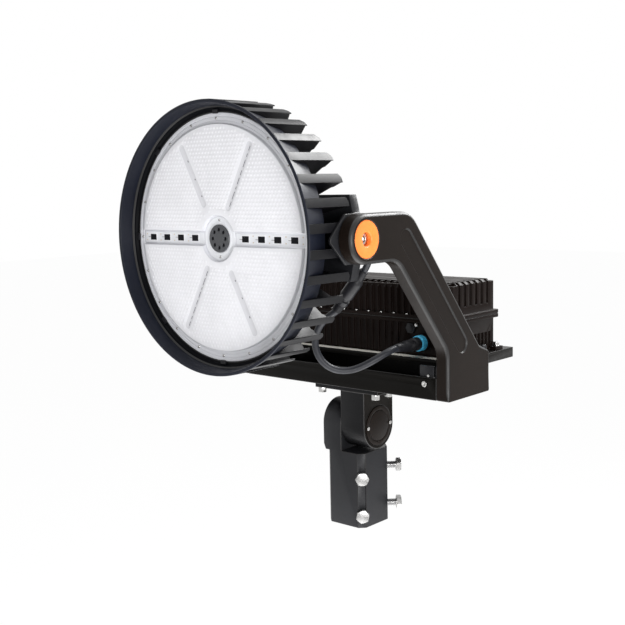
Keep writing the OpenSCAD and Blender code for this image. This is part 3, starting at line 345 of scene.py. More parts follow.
def changed(obj, kind, **settings):
    """Puts a modifier on the object and bakes it."""
    mod = obj.modifiers.new(kind, kind)
    for key, value in settings.items():
        setattr(mod, key, value)
    return baked(obj)


def bevel(obj, width):
    """Rounds the sharp edges by width in metres, in the last of the object's materials."""
    obj.data.polygons.foreach_set("use_smooth", [True] * len(obj.data.polygons))
    return changed(obj, "BEVEL", material=len(obj.data.materials) - 1, width=width, segments=2,
                   limit_method="ANGLE", angle_limit=radians(30), harden_normals=True,
                   use_clamp_overlap=False, miter_outer="MITER_ARC")


def cut(obj, cutters):
    """Takes the cutter solids out of the object."""
    for cutter in cutters:
        mod = obj.modifiers.new("Cut", "BOOLEAN")
        mod.operation = "DIFFERENCE"
        mod.solver = "EXACT"
        mod.object = cutter
    baked(obj)
    for cutter in cutters:
        removed(cutter)
    return obj


def removed(obj):
    mesh = obj.data
    bpy.data.objects.remove(obj)
    if mesh.users == 0:
        bpy.data.meshes.remove(mesh)


def merged(name, parts):
    """One object from several, which go."""
    bm = bmesh.new()
    for part in parts:
        bm.from_mesh(part.data)
    mesh = parts[0].data.copy()
    bm.to_mesh(mesh)
    bm.free()
    obj = linked(name, mesh)
    for part in parts:
        removed(part)
    return obj


def node_copy(name):
    """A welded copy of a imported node's mesh, with its flat faces whole again."""
    mesh = frame["nodes"][name].data.copy()
    obj = linked(name + "_cast", mesh)
    bm = bmesh.new()
    bm.from_mesh(mesh)
    bmesh.ops.remove_doubles(bm, verts=bm.verts, dist=2e-6)
    bmesh.ops.dissolve_limit(bm, angle_limit=radians(0.5), verts=bm.verts, edges=bm.edges, delimit=set())
    bmesh.ops.recalc_face_normals(bm, faces=bm.faces)
    bm.to_mesh(mesh)
    bm.free()
    return obj


# Nodes
def node(tree, kind, inputs=None, **settings):
    """A new node with its settings. Each input takes a value, a socket or a node's first output."""
    new = tree.nodes.new(kind)
    for key, value in settings.items():
        setattr(new, key, value)
    for key, value in (inputs or {}).items():
        if isinstance(value, bpy.types.Node):
            value = value.outputs[0]
        if isinstance(value, bpy.types.NodeSocket):
            tree.links.new(value, new.inputs[key])
        else:
            new.inputs[key].default_value = value
    return new


def maths(tree, operation, *values):
    return node(tree, "ShaderNodeMath", dict(enumerate(values)), operation=operation)


def new_tree(name, **inputs):
    """A geometry node tree with its inputs, by name and kind, and their sockets inside."""
    tree = bpy.data.node_groups.new(name, "GeometryNodeTree")
    for label, kind in inputs.items():
        tree.interface.new_socket(label.replace("_", " "), in_out="INPUT", socket_type="NodeSocket" + kind)
    tree.interface.new_socket("Geometry", in_out="OUTPUT", socket_type="NodeSocketGeometry")
    return tree, tree.nodes.new("NodeGroupInput").outputs


def ended(tree, shape, coat):
    coated_shape = node(tree, "GeometryNodeSetMaterial", {"Geometry": shape, "Material": coat})
    node(tree, "NodeGroupOutput", {0: coated_shape})
    return tree


def ring_tree():
    """Repeats a shape round the head's axis."""
    tree, given = new_tree("Copies round the head", Geometry="Geometry", Count="Int", First_angle="Float",
                           Axis_height="Float", Finish="Material")
    line = node(tree, "GeometryNodeMeshLine", {"Count": given["Count"], "Offset": (0, 0, 0)})
    share = maths(tree, "DIVIDE", node(tree, "GeometryNodeInputIndex"), given["Count"])
    turn = maths(tree, "MULTIPLY_ADD", share, 2 * pi, given["First angle"])
    rotation = node(tree, "ShaderNodeCombineXYZ", {"Y": maths(tree, "MULTIPLY", turn, -1)})
    put = node(tree, "GeometryNodeInstanceOnPoints",
               {"Points": line, "Instance": given["Geometry"], "Rotation": rotation})
    lift = node(tree, "ShaderNodeCombineXYZ", {"Z": given["Axis height"]})
    move = node(tree, "GeometryNodeTransform",
                {"Geometry": node(tree, "GeometryNodeRealizeInstances", {0: put}), "Translation": lift})
    return ended(tree, move, given["Finish"])


def place_tree():
    """Puts a shape at each place, its Z along the place's facing and spun by a seeded share of a turn."""
    tree, given = new_tree("Copies at places", Geometry="Geometry", Shape="Object", Spin="Float", Seed="Int",
                           Finish="Material")
    shape = node(tree, "GeometryNodeObjectInfo", {"Object": given["Shape"]})
    facing = node(tree, "GeometryNodeInputNamedAttribute", {"Name": "facing"}, data_type="FLOAT_VECTOR")
    align = node(tree, "FunctionNodeAlignRotationToVector", {"Vector": facing.outputs["Attribute"]}, axis="Z")
    chance = node(tree, "FunctionNodeRandomValue", {3: given["Spin"], "Seed": given["Seed"]})
    spin = node(tree, "FunctionNodeAxisAngleToRotation", {"Axis": (0, 0, 1), "Angle": chance.outputs[1]})
    both = node(tree, "FunctionNodeRotateRotation", {0: align, 1: spin}, rotation_space="LOCAL")
    put = node(tree, "GeometryNodeInstanceOnPoints",
               {"Points": given["Geometry"], "Instance": shape.outputs["Geometry"], "Rotation": both})
    return ended(tree, node(tree, "GeometryNodeRealizeInstances", {0: put}), given["Finish"])


# The node trees by the functions that make them, each made once.
TREES = {}


def grown(host, maker, values):
    """Runs a node tree on the host object with its named inputs set, and bakes the result."""
    if maker not in TREES:
        TREES[maker] = maker()
    mod = host.modifiers.new("Copies", "NODES")
    mod.node_group = TREES[maker]
    for item in mod.node_group.interface.items_tree:
        if item.item_type == "SOCKET" and item.in_out == "INPUT" and item.name in values:
            mod[item.identifier] = values[item.name]
    return baked(host)


def at_places(name, places, facing, shape, coat, spin=0.0, seed=1):
    """Copies of the shape object, which goes, at places in millimetres, its +Z along facing."""
    mesh = bpy.data.meshes.new(name)
    mesh.from_pydata([tuple(c * MM for c in p) for p in places], [], [])
    attribute = mesh.attributes.new("facing", "FLOAT_VECTOR", "POINT")
    attribute.data.foreach_set("vector", list(facing) * len(places))
    host = linked(name, mesh)
    grown(host, place_tree, {"Shape": shape, "Spin": spin, "Seed": seed, "Finish": COATS[coat]})
    if "facing" in host.data.attributes:
        host.data.attributes.remove(host.data.attributes["facing"])
    removed(shape)
    return host


# Materials
class Finish:
    """A material with short calls for its nodes, on Object coordinates in metres."""

    def __init__(self, name, **values):
        self.mat = bpy.data.materials.new(name)
        self.mat.use_nodes = True
        self.tree = self.mat.node_tree
        self.shader = self.tree.nodes["Principled BSDF"]
        self.coords = node(self.tree, "ShaderNodeTexCoord").outputs["Object"]
        for key, value in values.items():
            self.shader.inputs[key.replace("_", " ")].default_value = value

    def noise(self, scale, detail, stretch=None):
        source = self.coords
        if stretch:
            source = node(self.tree, "ShaderNodeMapping", {"Vector": source, "Scale": stretch})
        return node(self.tree, "ShaderNodeTexNoise", {
            "Vector": source, "Scale": scale, "Detail": detail, "Roughness": 0.55}).outputs["Fac"]

    def span(self, source, low, high, a=0.3, b=0.7):
        """The source's range from a to b, mapped to low and high."""
        return node(self.tree, "ShaderNodeMapRange", {
            "Value": source, "From Min": a, "From Max": b, "To Min": low, "To Max": high})

    def across(self, axis, a, b):
        """0 to 1, or 1 to 0 where b is below a, along an axis of the object."""
        parts = node(self.tree, "ShaderNodeSeparateXYZ", {0: self.coords})
        low, high = (0.0, 1.0) if a < b else (1.0, 0.0)
        return self.span(parts.outputs[axis], low, high, min(a, b), max(a, b))

    def surface(self, colour, spread, tone, rough, gloss, grain, change=None):
        """Sets the tone by (noise scale, detail), the roughness by (scale, detail, below, above) and
        the bump by (scale, detail, depth, strength, stretch), with a change of (share, colour)."""
        ramp = node(self.tree, "ShaderNodeValToRGB", {"Fac": self.noise(*tone)})
        for stop, place, share in zip(ramp.color_ramp.elements, (0.3, 0.7), (1 - spread, 1 + spread)):
            stop.position = place
            stop.color = tuple(c * share for c in colour) + (1,)
        shade = ramp.outputs["Color"]
        if change:
            shade = node(self.tree, "ShaderNodeMix", {0: change[0], 6: shade, 7: tuple(change[1]) + (1,)},
                         data_type="RGBA").outputs[2]
        self.tree.links.new(shade, self.shader.inputs["Base Color"])
        scale, detail, below, above = gloss
        level = self.span(self.noise(scale, detail), rough - below, rough + above)
        self.tree.links.new(level.outputs[0], self.shader.inputs["Roughness"])
        scale, detail, depth, strength, stretch = grain
        bump = node(self.tree, "ShaderNodeBump", {
            "Height": self.noise(scale, detail, stretch), "Distance": depth, "Strength": strength})
        self.tree.links.new(bump.outputs[0], self.shader.inputs["Normal"])
        return self.mat


def powder(name, colour, rough=0.42, grain=1400.0, depth=0.00004, gloss=0.2, pale=None):
    """Powder coat: fine orange peel, a slight change of tone and of gloss. A pale painted highlight goes on
    the tray's top in front of the driver, standing in for the light that strip catches."""
    f = Finish(name, Specular_IOR_Level=gloss)
    change = None
    if pale:
        top, front = TRAY_TOP * MM, DRIVER_Y * MM
        # Painted highlight: a pale strip on the tray's top, in front of the driver.
        strip = maths(f.tree, "MULTIPLY", f.across("Z", top - 0.0006, top - 0.0002),
                      f.across("Y", front, front - 0.001))
        change = (strip, pale)
    return f.surface(colour, 0.18, (9.0, 4.0), rough, (45.0, 4.0, 0.05, 0.06), (grain, 2.0, depth, 0.6, None),
                     change)


def moulded(name, colour, rough=0.5, grain=2200.0, depth=0.00002, **extra):
    """Moulded plastic or rubber: a fine matte grain."""
    return Finish(name, **extra).surface(colour, 0.12, (14.0, 3.0), rough, (60.0, 3.0, 0.05, 0.07),
                                         (grain, 2.0, depth, 0.5, None))


def plated(name, colour, rough):
    """Bare or plated metal with faint tool marks."""
    return Finish(name, Metallic=1.0).surface(colour, 0.1, (160.0, 4.0), rough, (420.0, 3.0, 0.07, 0.12),
                                              (900.0, 3.0, 0.000015, 0.5, (1, 1, 6)))


def optic(name, colour, rough, right=None):
    """Clear moulded plastic over white boards, read as a milky body with a gloss. Where a second colour is
    given, the colour lightens towards the head's right as painted light."""
    f = Finish(name, IOR=1.49, Coat_Weight=0.3, Coat_Roughness=0.06)
    # Painted light: lighter towards the head's right, where more light falls.
    change = (f.across("X", 0.09, 0.165), right) if right else None
    return f.surface(colour, 0.03, (30.0, 3.0), rough, (90.0, 3.0, 0.04, 0.05),
                     (700.0, 2.0, 0.00002, 0.4, None), change)


def make_materials():
    paint = bpy.context.scene.flood_paint
    tint = bpy.context.scene.flood_lens.tint
    return {
        "coat": powder("Black powder coat", paint.black, 0.40, gloss=0.24),
        # The arm coat's warm brown tint stands in for warm light on the faces towards +X: painted light.
        "coat_arm": powder("Arm powder coat", (0.0072, 0.0048, 0.0036), 0.33, 1100.0, 0.00003, gloss=0.095),
        "coat_knuckle": powder("Knuckle powder coat", (0.0058, 0.0058, 0.0064), 0.36, 1100.0, 0.00003,
                               gloss=0.11),
        # Painted light: a darker, warmer copy of the knuckle's coat for its side facing +X.
        "coat_side_shade": powder("Knuckle side coat", (0.0042, 0.0032, 0.0024), 0.36, 1100.0, 0.00003,
                            gloss=0.042),
        "coat_edge": powder("Edge of the coat", (0.0085, 0.0080, 0.0080), 0.42, 1100.0, 0.00002, gloss=0.36),
        "coat_beam": powder("Beam powder coat", (0.0040, 0.0036, 0.0031), 0.34, gloss=0.07),
        # The tray's coat carries a pale painted highlight on its top in front of the driver.
        "coat_tray": powder("Tray powder coat", (0.0050, 0.0044, 0.0038), 0.34, gloss=0.1,
                            pale=(0.97, 0.94, 0.86)),
        "coat_ring": powder("Ring powder coat", (0.0072, 0.0086, 0.0150), 0.34, gloss=0.15),
        # Painted shade: a blacker copy of the ring's coat for the gap in front of the lens.
        "coat_gap_shade": powder("Ring coat in the gap", (0.0022, 0.0024, 0.0034), 0.45, gloss=0.04),
        "coat_fin": powder("Fin coat", (0.0058, 0.0058, 0.0068), 0.34, 1400.0, 0.00001, gloss=0.15),
        "coat_driver": powder("Driver coat", (0.0072, 0.0044, 0.0035), 0.36, gloss=0.062),
        "optic": optic("Moulded optic", tint, 0.16),
        # The border and the wall lighten towards the head's right: painted light.
        "border": optic("Optic border", (0.60, 0.605, 0.64), 0.22, (0.84, 0.845, 0.875)),
        # Painted shade: the flats in a darker copy of the optic, darker to offset the highlight that their
        # flat faces catch.
        "flat": optic("Optic flats", (0.705, 0.705, 0.735), 0.2),
        "window": optic("Optic window", (0.70, 0.71, 0.74), 0.14),
        "wall": optic("Optic wall", (0.60, 0.605, 0.64), 0.2, (0.84, 0.845, 0.875)),
        "mark": moulded("Dark traces", (0.10, 0.10, 0.115), 0.5),
        "pad": moulded("Solder pads", (0.55, 0.47, 0.38), 0.5),
        # Near black; also the painted shade at the bottoms of the vent's holes.
        "socket": moulded("Board openings", (0.005, 0.005, 0.007), 0.6, Specular_IOR_Level=0.1),
        # Painted shade: the spokes' grooves in a greyer copy of the optic.
        "groove": optic("Optic groove", (0.58, 0.58, 0.61), 0.2),
        "plastic": moulded("Black plastic", (0.010, 0.010, 0.012), 0.36, Specular_IOR_Level=0.24),
        "cap": moulded("Vent plastic", (0.045, 0.047, 0.052), 0.42),
        "rubber": moulded("Cable sheath", (0.013, 0.014, 0.018), 0.42, 1500.0, 0.00005,
                          Specular_IOR_Level=0.27),
        "seal": moulded("Seal rubber", (0.02, 0.02, 0.02), 0.65),
        "steel": plated("Zinc-plated steel", (0.50, 0.495, 0.485), 0.2),
        "bolt": plated("Clamp bolt steel", (0.30, 0.297, 0.293), 0.28),
        # Painted shade: a darker steel in the roots of the clamp bolts' threads.
        "thread": plated("Thread roots", (0.17, 0.17, 0.175), 0.35),
        "aluminium": plated("Machined aluminium", (0.62, 0.63, 0.64), 0.32),
        "bronze": plated("Bush bronze", (0.60, 0.42, 0.20), 0.30),
        "orange": moulded("Orange plastic", paint.orange, 0.40, 1600.0, 0.00003),
        "blue": moulded("Blue plastic", paint.blue, 0.36, 1600.0, 0.00002),
        "white": moulded("White plastic", (0.80, 0.80, 0.78), 0.5),
        "green": moulded("Board green", (0.03, 0.16, 0.06), 0.4),
        "sleeve": moulded("Capacitor sleeve", (0.03, 0.05, 0.18), 0.35),
        "phosphor": moulded("Phosphor", (0.85, 0.68, 0.16), 0.4),
    }


# Operators
class FLOOD_OT_stage(bpy.types.Operator):
    """Makes the camera, the pale floor, the lamps and the world"""
    bl_idname = "flood.stage"
    bl_label = "Stage"

    # The camera's place in metres, its turn, dip and roll in degrees, and its lens in millimetres.
    camera_at, camera_turn, camera_lens = (1.1068, -1.3678, 0.5868), (41.39, 7.15, -1.25), 59.73
    floor_half, floor_glow = 14, 0.96
    # Each lamp's name, place, target and width in metres, and the setting with its power.
    lamps = (
        ("Top", (0.15, 0.1, 2.3), (0, -0.1, 0.4), 2.2, "top_light"),
        ("Front", (1.9, -1.25, 0.3), (0.1, -0.1, 0.4), 0.9, "front_light"),
        ("Back", (0.52, 1.5, 1.85), (0, -0.2, 0.5), 1.15, "back_light"),
        ("Low", (0.2, -0.2, -0.55), (0.2, -0.19, 0.4), 1.4, "low_light"),
    )

    def execute(self, context):
        scene, s = context.scene, context.scene.flood_stage
        scene.view_settings.view_transform = "Standard"
        self.camera(scene)
        half = self.floor_half
        corners = ((-half, -half), (half, -half), (half, half), (-half, half))
        floor = mesh_object("Floor", [(x, y, s.floor_z) for x, y in corners], [(0, 1, 2, 3)], scale=1.0)
        floor.data.materials.append(self.floor_material())
        world = bpy.data.worlds.new("Studio")
        scene.world = world
        world.use_nodes = True
        tree = world.node_tree
        back = tree.nodes["Background"]
        back.inputs["Color"].default_value = (1, 1, 1, 1)
        strength = node(tree, "ShaderNodeMapRange",
                        {"Value": self.seen(tree), "To Min": s.world_light, "To Max": 1.0})
        tree.links.new(strength.outputs[0], back.inputs["Strength"])
        for name, place, target, width, power in self.lamps:
            self.lamp(name, place, target, width, getattr(s, power))
        return {"FINISHED"}

    def camera(self, scene):
        cam = linked("Camera", bpy.data.cameras.new("Camera"))
        az, pitch, roll = (radians(a) for a in self.camera_turn)
        up, level = Vector((0, 0, 1)), Vector((-sin(az), cos(az), 0))
        side = Vector((cos(az), sin(az), 0))
        ahead = level * cos(pitch) - up * sin(pitch)
        top = up * cos(pitch) + level * sin(pitch)
        right = side * cos(roll) + top * sin(roll)
        top = top * cos(roll) - side * sin(roll)
        turn = Matrix((right, top, -ahead)).transposed().to_4x4()
        cam.matrix_world = Matrix.Translation(self.camera_at) @ turn
        cam.data.sensor_width, cam.data.lens, cam.data.clip_end = 36.0, self.camera_lens, 50
        scene.camera = cam

    def seen(self, tree):
        """1 for camera, glossy and transmission rays."""
        path = node(tree, "ShaderNodeLightPath").outputs
        first = maths(tree, "MAXIMUM", path["Is Camera Ray"], path["Is Glossy Ray"])
        return maths(tree, "MAXIMUM", first, path["Is Transmission Ray"])

    def floor_material(self):
        """White to the camera apart from the shadow."""
        mat = bpy.data.materials.new("Pale floor")
        mat.use_nodes = True
        tree = mat.node_tree
        matte = tree.nodes["Principled BSDF"]
        matte.inputs["Base Color"].default_value = (0.9, 0.9, 0.9, 1)
        matte.inputs["Roughness"].default_value = 0.9
        share = maths(tree, "MULTIPLY", self.seen(tree), self.floor_glow)
        glow = node(tree, "ShaderNodeEmission", {"Strength": 1.0})
        mix = node(tree, "ShaderNodeMixShader", {"Fac": share, 1: matte, 2: glow})
        tree.links.new(mix.outputs[0], tree.nodes["Material Output"].inputs["Surface"])
        return mat

    def lamp(self, name, place, target, width, power):
        data = bpy.data.lights.new(name, "AREA")
        data.shape, data.size, data.energy = "SQUARE", width, power
        obj = linked(name, data)
        obj.location = place
        obj.rotation_euler = (Vector(target) - Vector(place)).to_track_quat("-Z", "Y").to_euler()
        obj.visible_camera = False


class FLOOD_OT_cables(bpy.types.Operator):
    """Makes the two cables, their moulded connector and the plug with its blue ring"""
    bl_idname = "flood.cables"
    bl_label = "Cables"

    def execute(self, context):
        path = smooth_route(POWER_ROUTE)
        power = tube("power_lead", path, 0.0055)
        coated(power, "rubber")
        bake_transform(power)
        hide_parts("power_cable")
        short = smooth_route(HEAD_ROUTE)
        head = finish(tube("head_lead", short, 0.005), "head", "rubber", ["head_cable"])
        barrel = piece("cable_joint", self.barrel(), "head", "plastic",
                       ["inline_connector"], 35)
        plug = piece("plug_body", self.plug(), "bracket", "plastic", ["plug"], 35)
        piece("blue_ring", self.ring(), "bracket", "blue", ["coupling_ring"], 35, 1e-6)
        return {"FINISHED"}

    def length(self, path):
        return sum((b - a).length for a, b in zip(path, path[1:]))

    def barrel(self):
        """The inline connector: ribbed tail, nut, neck, thick barrel and stub."""
        a, b = Vector(POWER_ROUTE[-1]), Vector(HEAD_ROUTE[0])
        profile = [(-6, 5.6), (-5.6, 6.2)]
        for k in range(6):
            profile += [(d + 2.4 * k, r + 0.15 * k)
                        for d, r in ((-5.2, 6.4), (-4.7, 7.3), (-3.7, 7.3), (-3.2, 6.4))]
        profile += [(10, 7.4), (10.6, 9.2), (11.2, 9.8), (18.2, 9.8), (18.8, 9.2), (19.4, 7.6), (23.5, 7.6),
                    (24.2, 8.8), (25.4, 10.0), (27, 10.4)]
        profile += [((b - a).length + d, r) for d, r in (
            (-19, 10.4), (-17, 10.1), (-14.5, 9.0), (-11.5, 7.6), (-9, 7.0), (3.5, 6.6), (5, 6.0),
            (5.5, 5.1))]
        return turned(profile, a, b - a, 40)

    def plug(self):
        """The plug's body and its stepped tail, from (distance, cut below the body's radius)."""
        profile = [(d, 11.0 - less) for d, less in (
            (0, 0.6), (0.6, 0), (9, 0), (9.4, 0.6), (10.6, 0.6), (11, 0), (22, 0), (23.5, 1.0), (24, 1.4),
            (28, 1.4), (28.5, 2.0), (30, 2.0), (30.5, 1.4), (33, 1.4), (33.5, 2.0), (35, 2.0), (35.5, 1.4),
            (42, 1.6), (43.8, 2.4), (46, 2.7), (56, 3.6))]
        profile += [(66, 6.6), (66.9, 6.0), (67, 5.4)]
        return turned(profile, (PLUG_X, 10.0, PLUG_Z), (0, -1, 0), 48)

    def ring(self):
        """The blue ring with its finger ribs, from (distance, radius, height of the ribs)."""
        y = DRIVER_Y - 3 - 0.3 - RING_W
        rings = []
        for d, r, rib in ((0, 11.4, 0), (0, 12.2, 0), (1.0, 13.0, 0), (2.2, 13.0, 0), (2.8, 12.5, 0.5),
                          (10.2, 12.5, 0.5), (10.8, 13.0, 0), (11.4, 13.0, 0), (12, 12.5, 0), (12, 9.2, 0),
                          (0, 9.2, 0)):
            radii = [r + (rib if k % 5 < 3 else 0) for k in range(120)]
            rings.append([(PLUG_X + rr * cos(a), y + d, PLUG_Z + rr * sin(a))
                          for rr, a in zip(radii, turns(120))])
        return loft(rings + rings[:1], (False, False))


class FLOOD_OT_shroud(bpy.types.Operator):
    """Makes the black front ring with its lip, cone and ledge, and the clips on its inner wall"""
    bl_idname = "flood.shroud"
    bl_label = "Front ring"

    # The ring's section as (radius, depth, corner radius).
    section = (
        (HEAD_R, 0, 1.2), (HEAD_R, 1.5, 0.3), (190, 44, 0.5), (186, 44, 0.4), (186, 36.5, 0.3),
        (170.5, 36.5, 0.3), (170.5, 35.9, 0.2), (182.6, 35.9, 0.3), (182.6, 29.4, 0.3), (183.4, 28.9, 0.3),
        (186.2, 28.7, 0.5), (187.0, 27.6, 0.3), (188.6, 25.4, 0.4), (189.2, 23.0, 0.4), (190.2, 22.0, 0.5),
        (191.4, 21.0, 0.4), (191.0, 19.4, 0.5), (195.2, 0, 1.4))
    # One clip's outline as (radius, offset), and how many there are.
    clip, clip_count = [(180.5, -5), (186.6, -5.5), (186.6, 5.5), (180.5, 5)], 8

    def execute(self, context):
        solid = head_lathe(bevelled(self.section, 0.5, 3), 240)
        ring = mesh_object("front_ring", *solid, smooth=32, weld=1e-6)
        for face in coated(ring, "coat_ring", "coat_gap_shade", "coat_edge"):
            r = hypot(face.center.x * 1000, face.center.z * 1000 - PIVOT_Z)
            d = face.center.y * 1000 - RIM_Y
            ledge = (20.6 < d < 23.2 and 189.0 < r < 191.6) or (28.6 < d < 29.6 and r < 183.9)
            # The gap's faces take the blacker coat as painted shade.
            gap = 22.8 < d < 36.2 and r < 189.4
            face.material_index = 2 if ledge else 1 if gap else 0
        finish(ring, "head", None, ["shroud"])
        outline = bevelled(self.clip, 1.2, 3)
        clips = [slab(radians(360 / self.clip_count * k), outline, ((28.4, 0), (26.3, 0), (25.8, 0.5)))
                 for k in range(self.clip_count)]
        piece("ring_clips", join(clips), "head", "plastic", ["lens_clips"], 35)
        return {"FINISHED"}


class FLOOD_OT_lens(bpy.types.Operator):
    """Makes the optic plate: border, raised lenslet fields, spokes, the channel and the vent"""
    bl_idname = "flood.lens"
    bl_label = "Optic"

    # Radii at which the dark marks in a long and in a short spoke begin and end.
    long_marks = ((54, 62), (66, 78), (82, 86), (90, 100), (104, 112), (117, 128), (133, 138), (143, 150))
    short_marks = ((68, 70.5), (96, 98.5), (126, 129))
    # Circles of the border's screws and of the vent's holes, and the two centre screws' distance.
    screw_circle, screw_count, centre_screws = 174, 20, 27
    hole_circle, hole_count = 13.3, 8
    # A lenslet's (height, radius) at a pitch of dome_pitch, and the width of the fields' sloped edge.
    dome, dome_pitch, field_edge = ((0, 3.25), (0.4, 2.95), (0.8, 2.2), (1.05, 1.2)), 6.6, 2

    def execute(self, context):
        s = context.scene.flood_lens
        pitch, half_spoke = s.pitch * 1000, s.spoke_w * 500
        self.plate()
        self.fields(half_spoke)
        self.marks()
        self.channel()
        self.vent()
        self.lenslets(pitch, half_spoke)
        self.screws()
        return {"FINISHED"}

    def around(self, r, count):
        """Places on the lens's face, spread evenly on a circle of radius r."""
        angles = [radians(360 / count * k) for k in range(count)]
        return [(r * cos(a), RIM_Y + LENS_DEPTH, PIVOT_Z + r * sin(a)) for a in angles]

    def lathe(self, section, corner, rounding, steps):
        """A lathed solid from (radius, depth behind the lens's face, corner radius)."""
        return head_lathe(bevelled([(r, LENS_DEPTH + d, c) for r, d, c in section], corner, rounding), steps)

    def plate(self):
        """The plate under the fields, its border stepped by two fine grooves."""
        section = ((17.8, 0.3, 0.2), (17.8, 4, 0.2), (LENS_R, 4, 0.3), (LENS_R, 0.5, 0.4), (181.3, 0, 0.3),
                   (177.2, 0, 0.2), (176.9, 0.5, 0.1), (176.3, 0.5, 0.1), (176.0, 0, 0.2), (171.6, 0, 0.2),
                   (171.3, 0.5, 0.1), (170.8, 0.5, 0.1), (170.5, 0, 0.2), (19, 0, 0.3))
        piece("optic_plate", self.lathe(section, 0.3, 2, 240), "head", "border",
              ["lens_plate"], 30, 1e-6)

    def outline(self, side, inset):
        """Half of the field as (x, z), drawn in by inset."""
        outer, inner, half = FIELD_R - inset, CENTRE_R + inset, CHANNEL_W / 2 + inset
        a0, b0 = asin(half / outer), asin(half / inner)
        reach = outer * cos(a0) - inner * cos(b0)
        line = [(outer * cos(a), outer * sin(a)) for a in (a0 + (pi - 2 * a0) * k / 96 for k in range(97))]
        line += [(-outer * cos(a0) + reach * k / 12, half) for k in range(1, 12)]
        line += [(-inner * cos(b), inner * sin(b)) for b in (b0 + (pi - 2 * b0) * k / 40 for k in range(41))]
        line += [(inner * cos(b0) + reach * k / 12, half) for k in range(1, 12)]
        return [(x, side * z) for x, z in line]

    def fields(self, half_spoke):
        """The two raised fields with their sloped walls and the grooves of the spokes."""
        levels = ((LENS_DEPTH + 0.5, 0.0), (LENS_DEPTH - 0.2, 0.05), (FIELD_DEPTH + 1.0, 1.0),
                  (FIELD_DEPTH + 0.45, 1.2), (FIELD_DEPTH + 0.12, 1.6), (FIELD_DEPTH, 2.2))
        halves = [loft([[(x, RIM_Y + d, PIVOT_Z + z) for x, z in self.outline(side, inset)]
                        for d, inset in levels]) for side in (1, -1)]
        field = mesh_object("optic_fields", *join(halves))
        grooves = [self.groove(radians(a), 46 if a in LONG_SPOKES else 52, 156, half_spoke) for a in SPOKES]
        cut(field, [mesh_object("grooves", *join(grooves))])
        tidy(field.data, 30, 1e-6)
        for face in coated(field, "flat", "wall", "groove"):
            r = hypot(face.center.x, face.center.z - PIVOT_Z * MM) * 1000
            edge = (r > FIELD_R - self.field_edge or r < CENTRE_R + self.field_edge
                    or abs(face.center.z * 1000 - PIVOT_Z) < CHANNEL_W / 2 + self.field_edge)
            # The grooves' sunk faces take the greyer copy of the optic as painted shade.
            sunk = not edge and face.center.y * 1000 > RIM_Y + FIELD_DEPTH + 0.05
            face.material_index = 1 if edge and abs(face.normal.y) < 0.8 else 2 if sunk else 0
        finish(field, "head")

    def groove(self, a, r0, r1, half):
        """A cutter for a shallow groove with round ends and sloped sides."""
        u, t, c = radial(a)
        rings = []
        for d, w in ((-1.0, half * 1.12), (0.0, half), (0.25, half * 0.82), (0.5, half * 0.55),
                     (0.6, half * 0.3)):
            lift = Vector((0, FIELD_DEPTH + d, 0))
            rings.append([tuple(c + u * (r + end * w * cos(b)) + t * (end * w * sin(b)) + lift)
                          for end, r in ((1, r1 - half), (-1, r0 + half))
                          for b in (-pi / 2 + pi * k / 12 for k in range(13))])
        return loft(rings)

    def marks(self):
        """The dark marks of the boards' traces, seen in the spokes."""
        marks = []
        for a in SPOKES:
            long = a in LONG_SPOKES
            side = -1.9 if a in SPOKES[:2] else 1.9
            marks += [slab(radians(a), oblong(r0, r1, 0.5 if long else 0.8),
                           ((FIELD_DEPTH + 1.9, 0), (FIELD_DEPTH + 0.42, 0)), side)
                      for r0, r1 in (self.long_marks if long else self.short_marks)]
        piece("spoke_marks", join(marks), "head", "mark")

    def block(self, side, r0, r1, half, rise, corner, foot):
        """A block with rounded corners that stands rise in front of the lens's face."""
        d = LENS_DEPTH - rise
        outline = bevelled(oblong(r0, r1, half), corner, 3)
        return slab(side, outline, ((LENS_DEPTH + foot, 0), (d + 0.3, 0), (d, 0.3)))

    def strip(self, side, r0, r1, half, rise, shift):
        return slab(side, oblong(r0, r1, half), ((LENS_DEPTH + 0.2, 0), (LENS_DEPTH - rise, 0)), shift)

    def channel(self):
        """The channel's floor with its square openings, their frames, the small leads and the pads."""
        floor = [self.block(side, 34, 168, CHANNEL_W / 2 - 1.6, 0.35, 1.0, 1.0) for side in (0, pi)]
        frames, holes, leads, pads = [], [], [], []
        for x in WINDOWS:
            for side, flip in ((0, 1), (pi, -1)):
                frames.append(self.block(side, x - 8.8, x + 8.8, 6.6, 0.8, 0.9, 0.5))
                holes.append(self.block(side, x - 6.9, x + 6.9, 4.7, 0.95, 0.5, 0.4))
                lead = x - flip * 8.6
                leads.append(self.strip(side, lead - 3.4, lead + 3.4, 0.32, 0.85, -0.3))
                pads += [self.strip(side, x + 14.2, x + 16.4, 0.9, 0.5, w) for w in (-4.6, 4.6)]
        for name, parts, coat in (("channel_floor", floor, "window"), ("strip_frames", frames, "optic"),
                                  ("strip_openings", holes, "socket"), ("strip_leads", leads, "mark"),
                                  ("strip_pads", pads, "pad")):
            piece(name, join(parts), "head", coat, smooth=35)
        section = ((20.9, 0.4, 0.1), (20.9, -0.5, 0.4), (24.2, -0.5, 0.3), (24.8, -0.1, 0.2),
                   (29.6, -0.1, 0.2), (30.2, -0.4, 0.2), (31.6, -0.4, 0.3), (32, 0.4, 0.1))
        piece("centre_ring", self.lathe(section, 0.2, 3, 120), "head", "window",
              smooth=35, weld=1e-6)

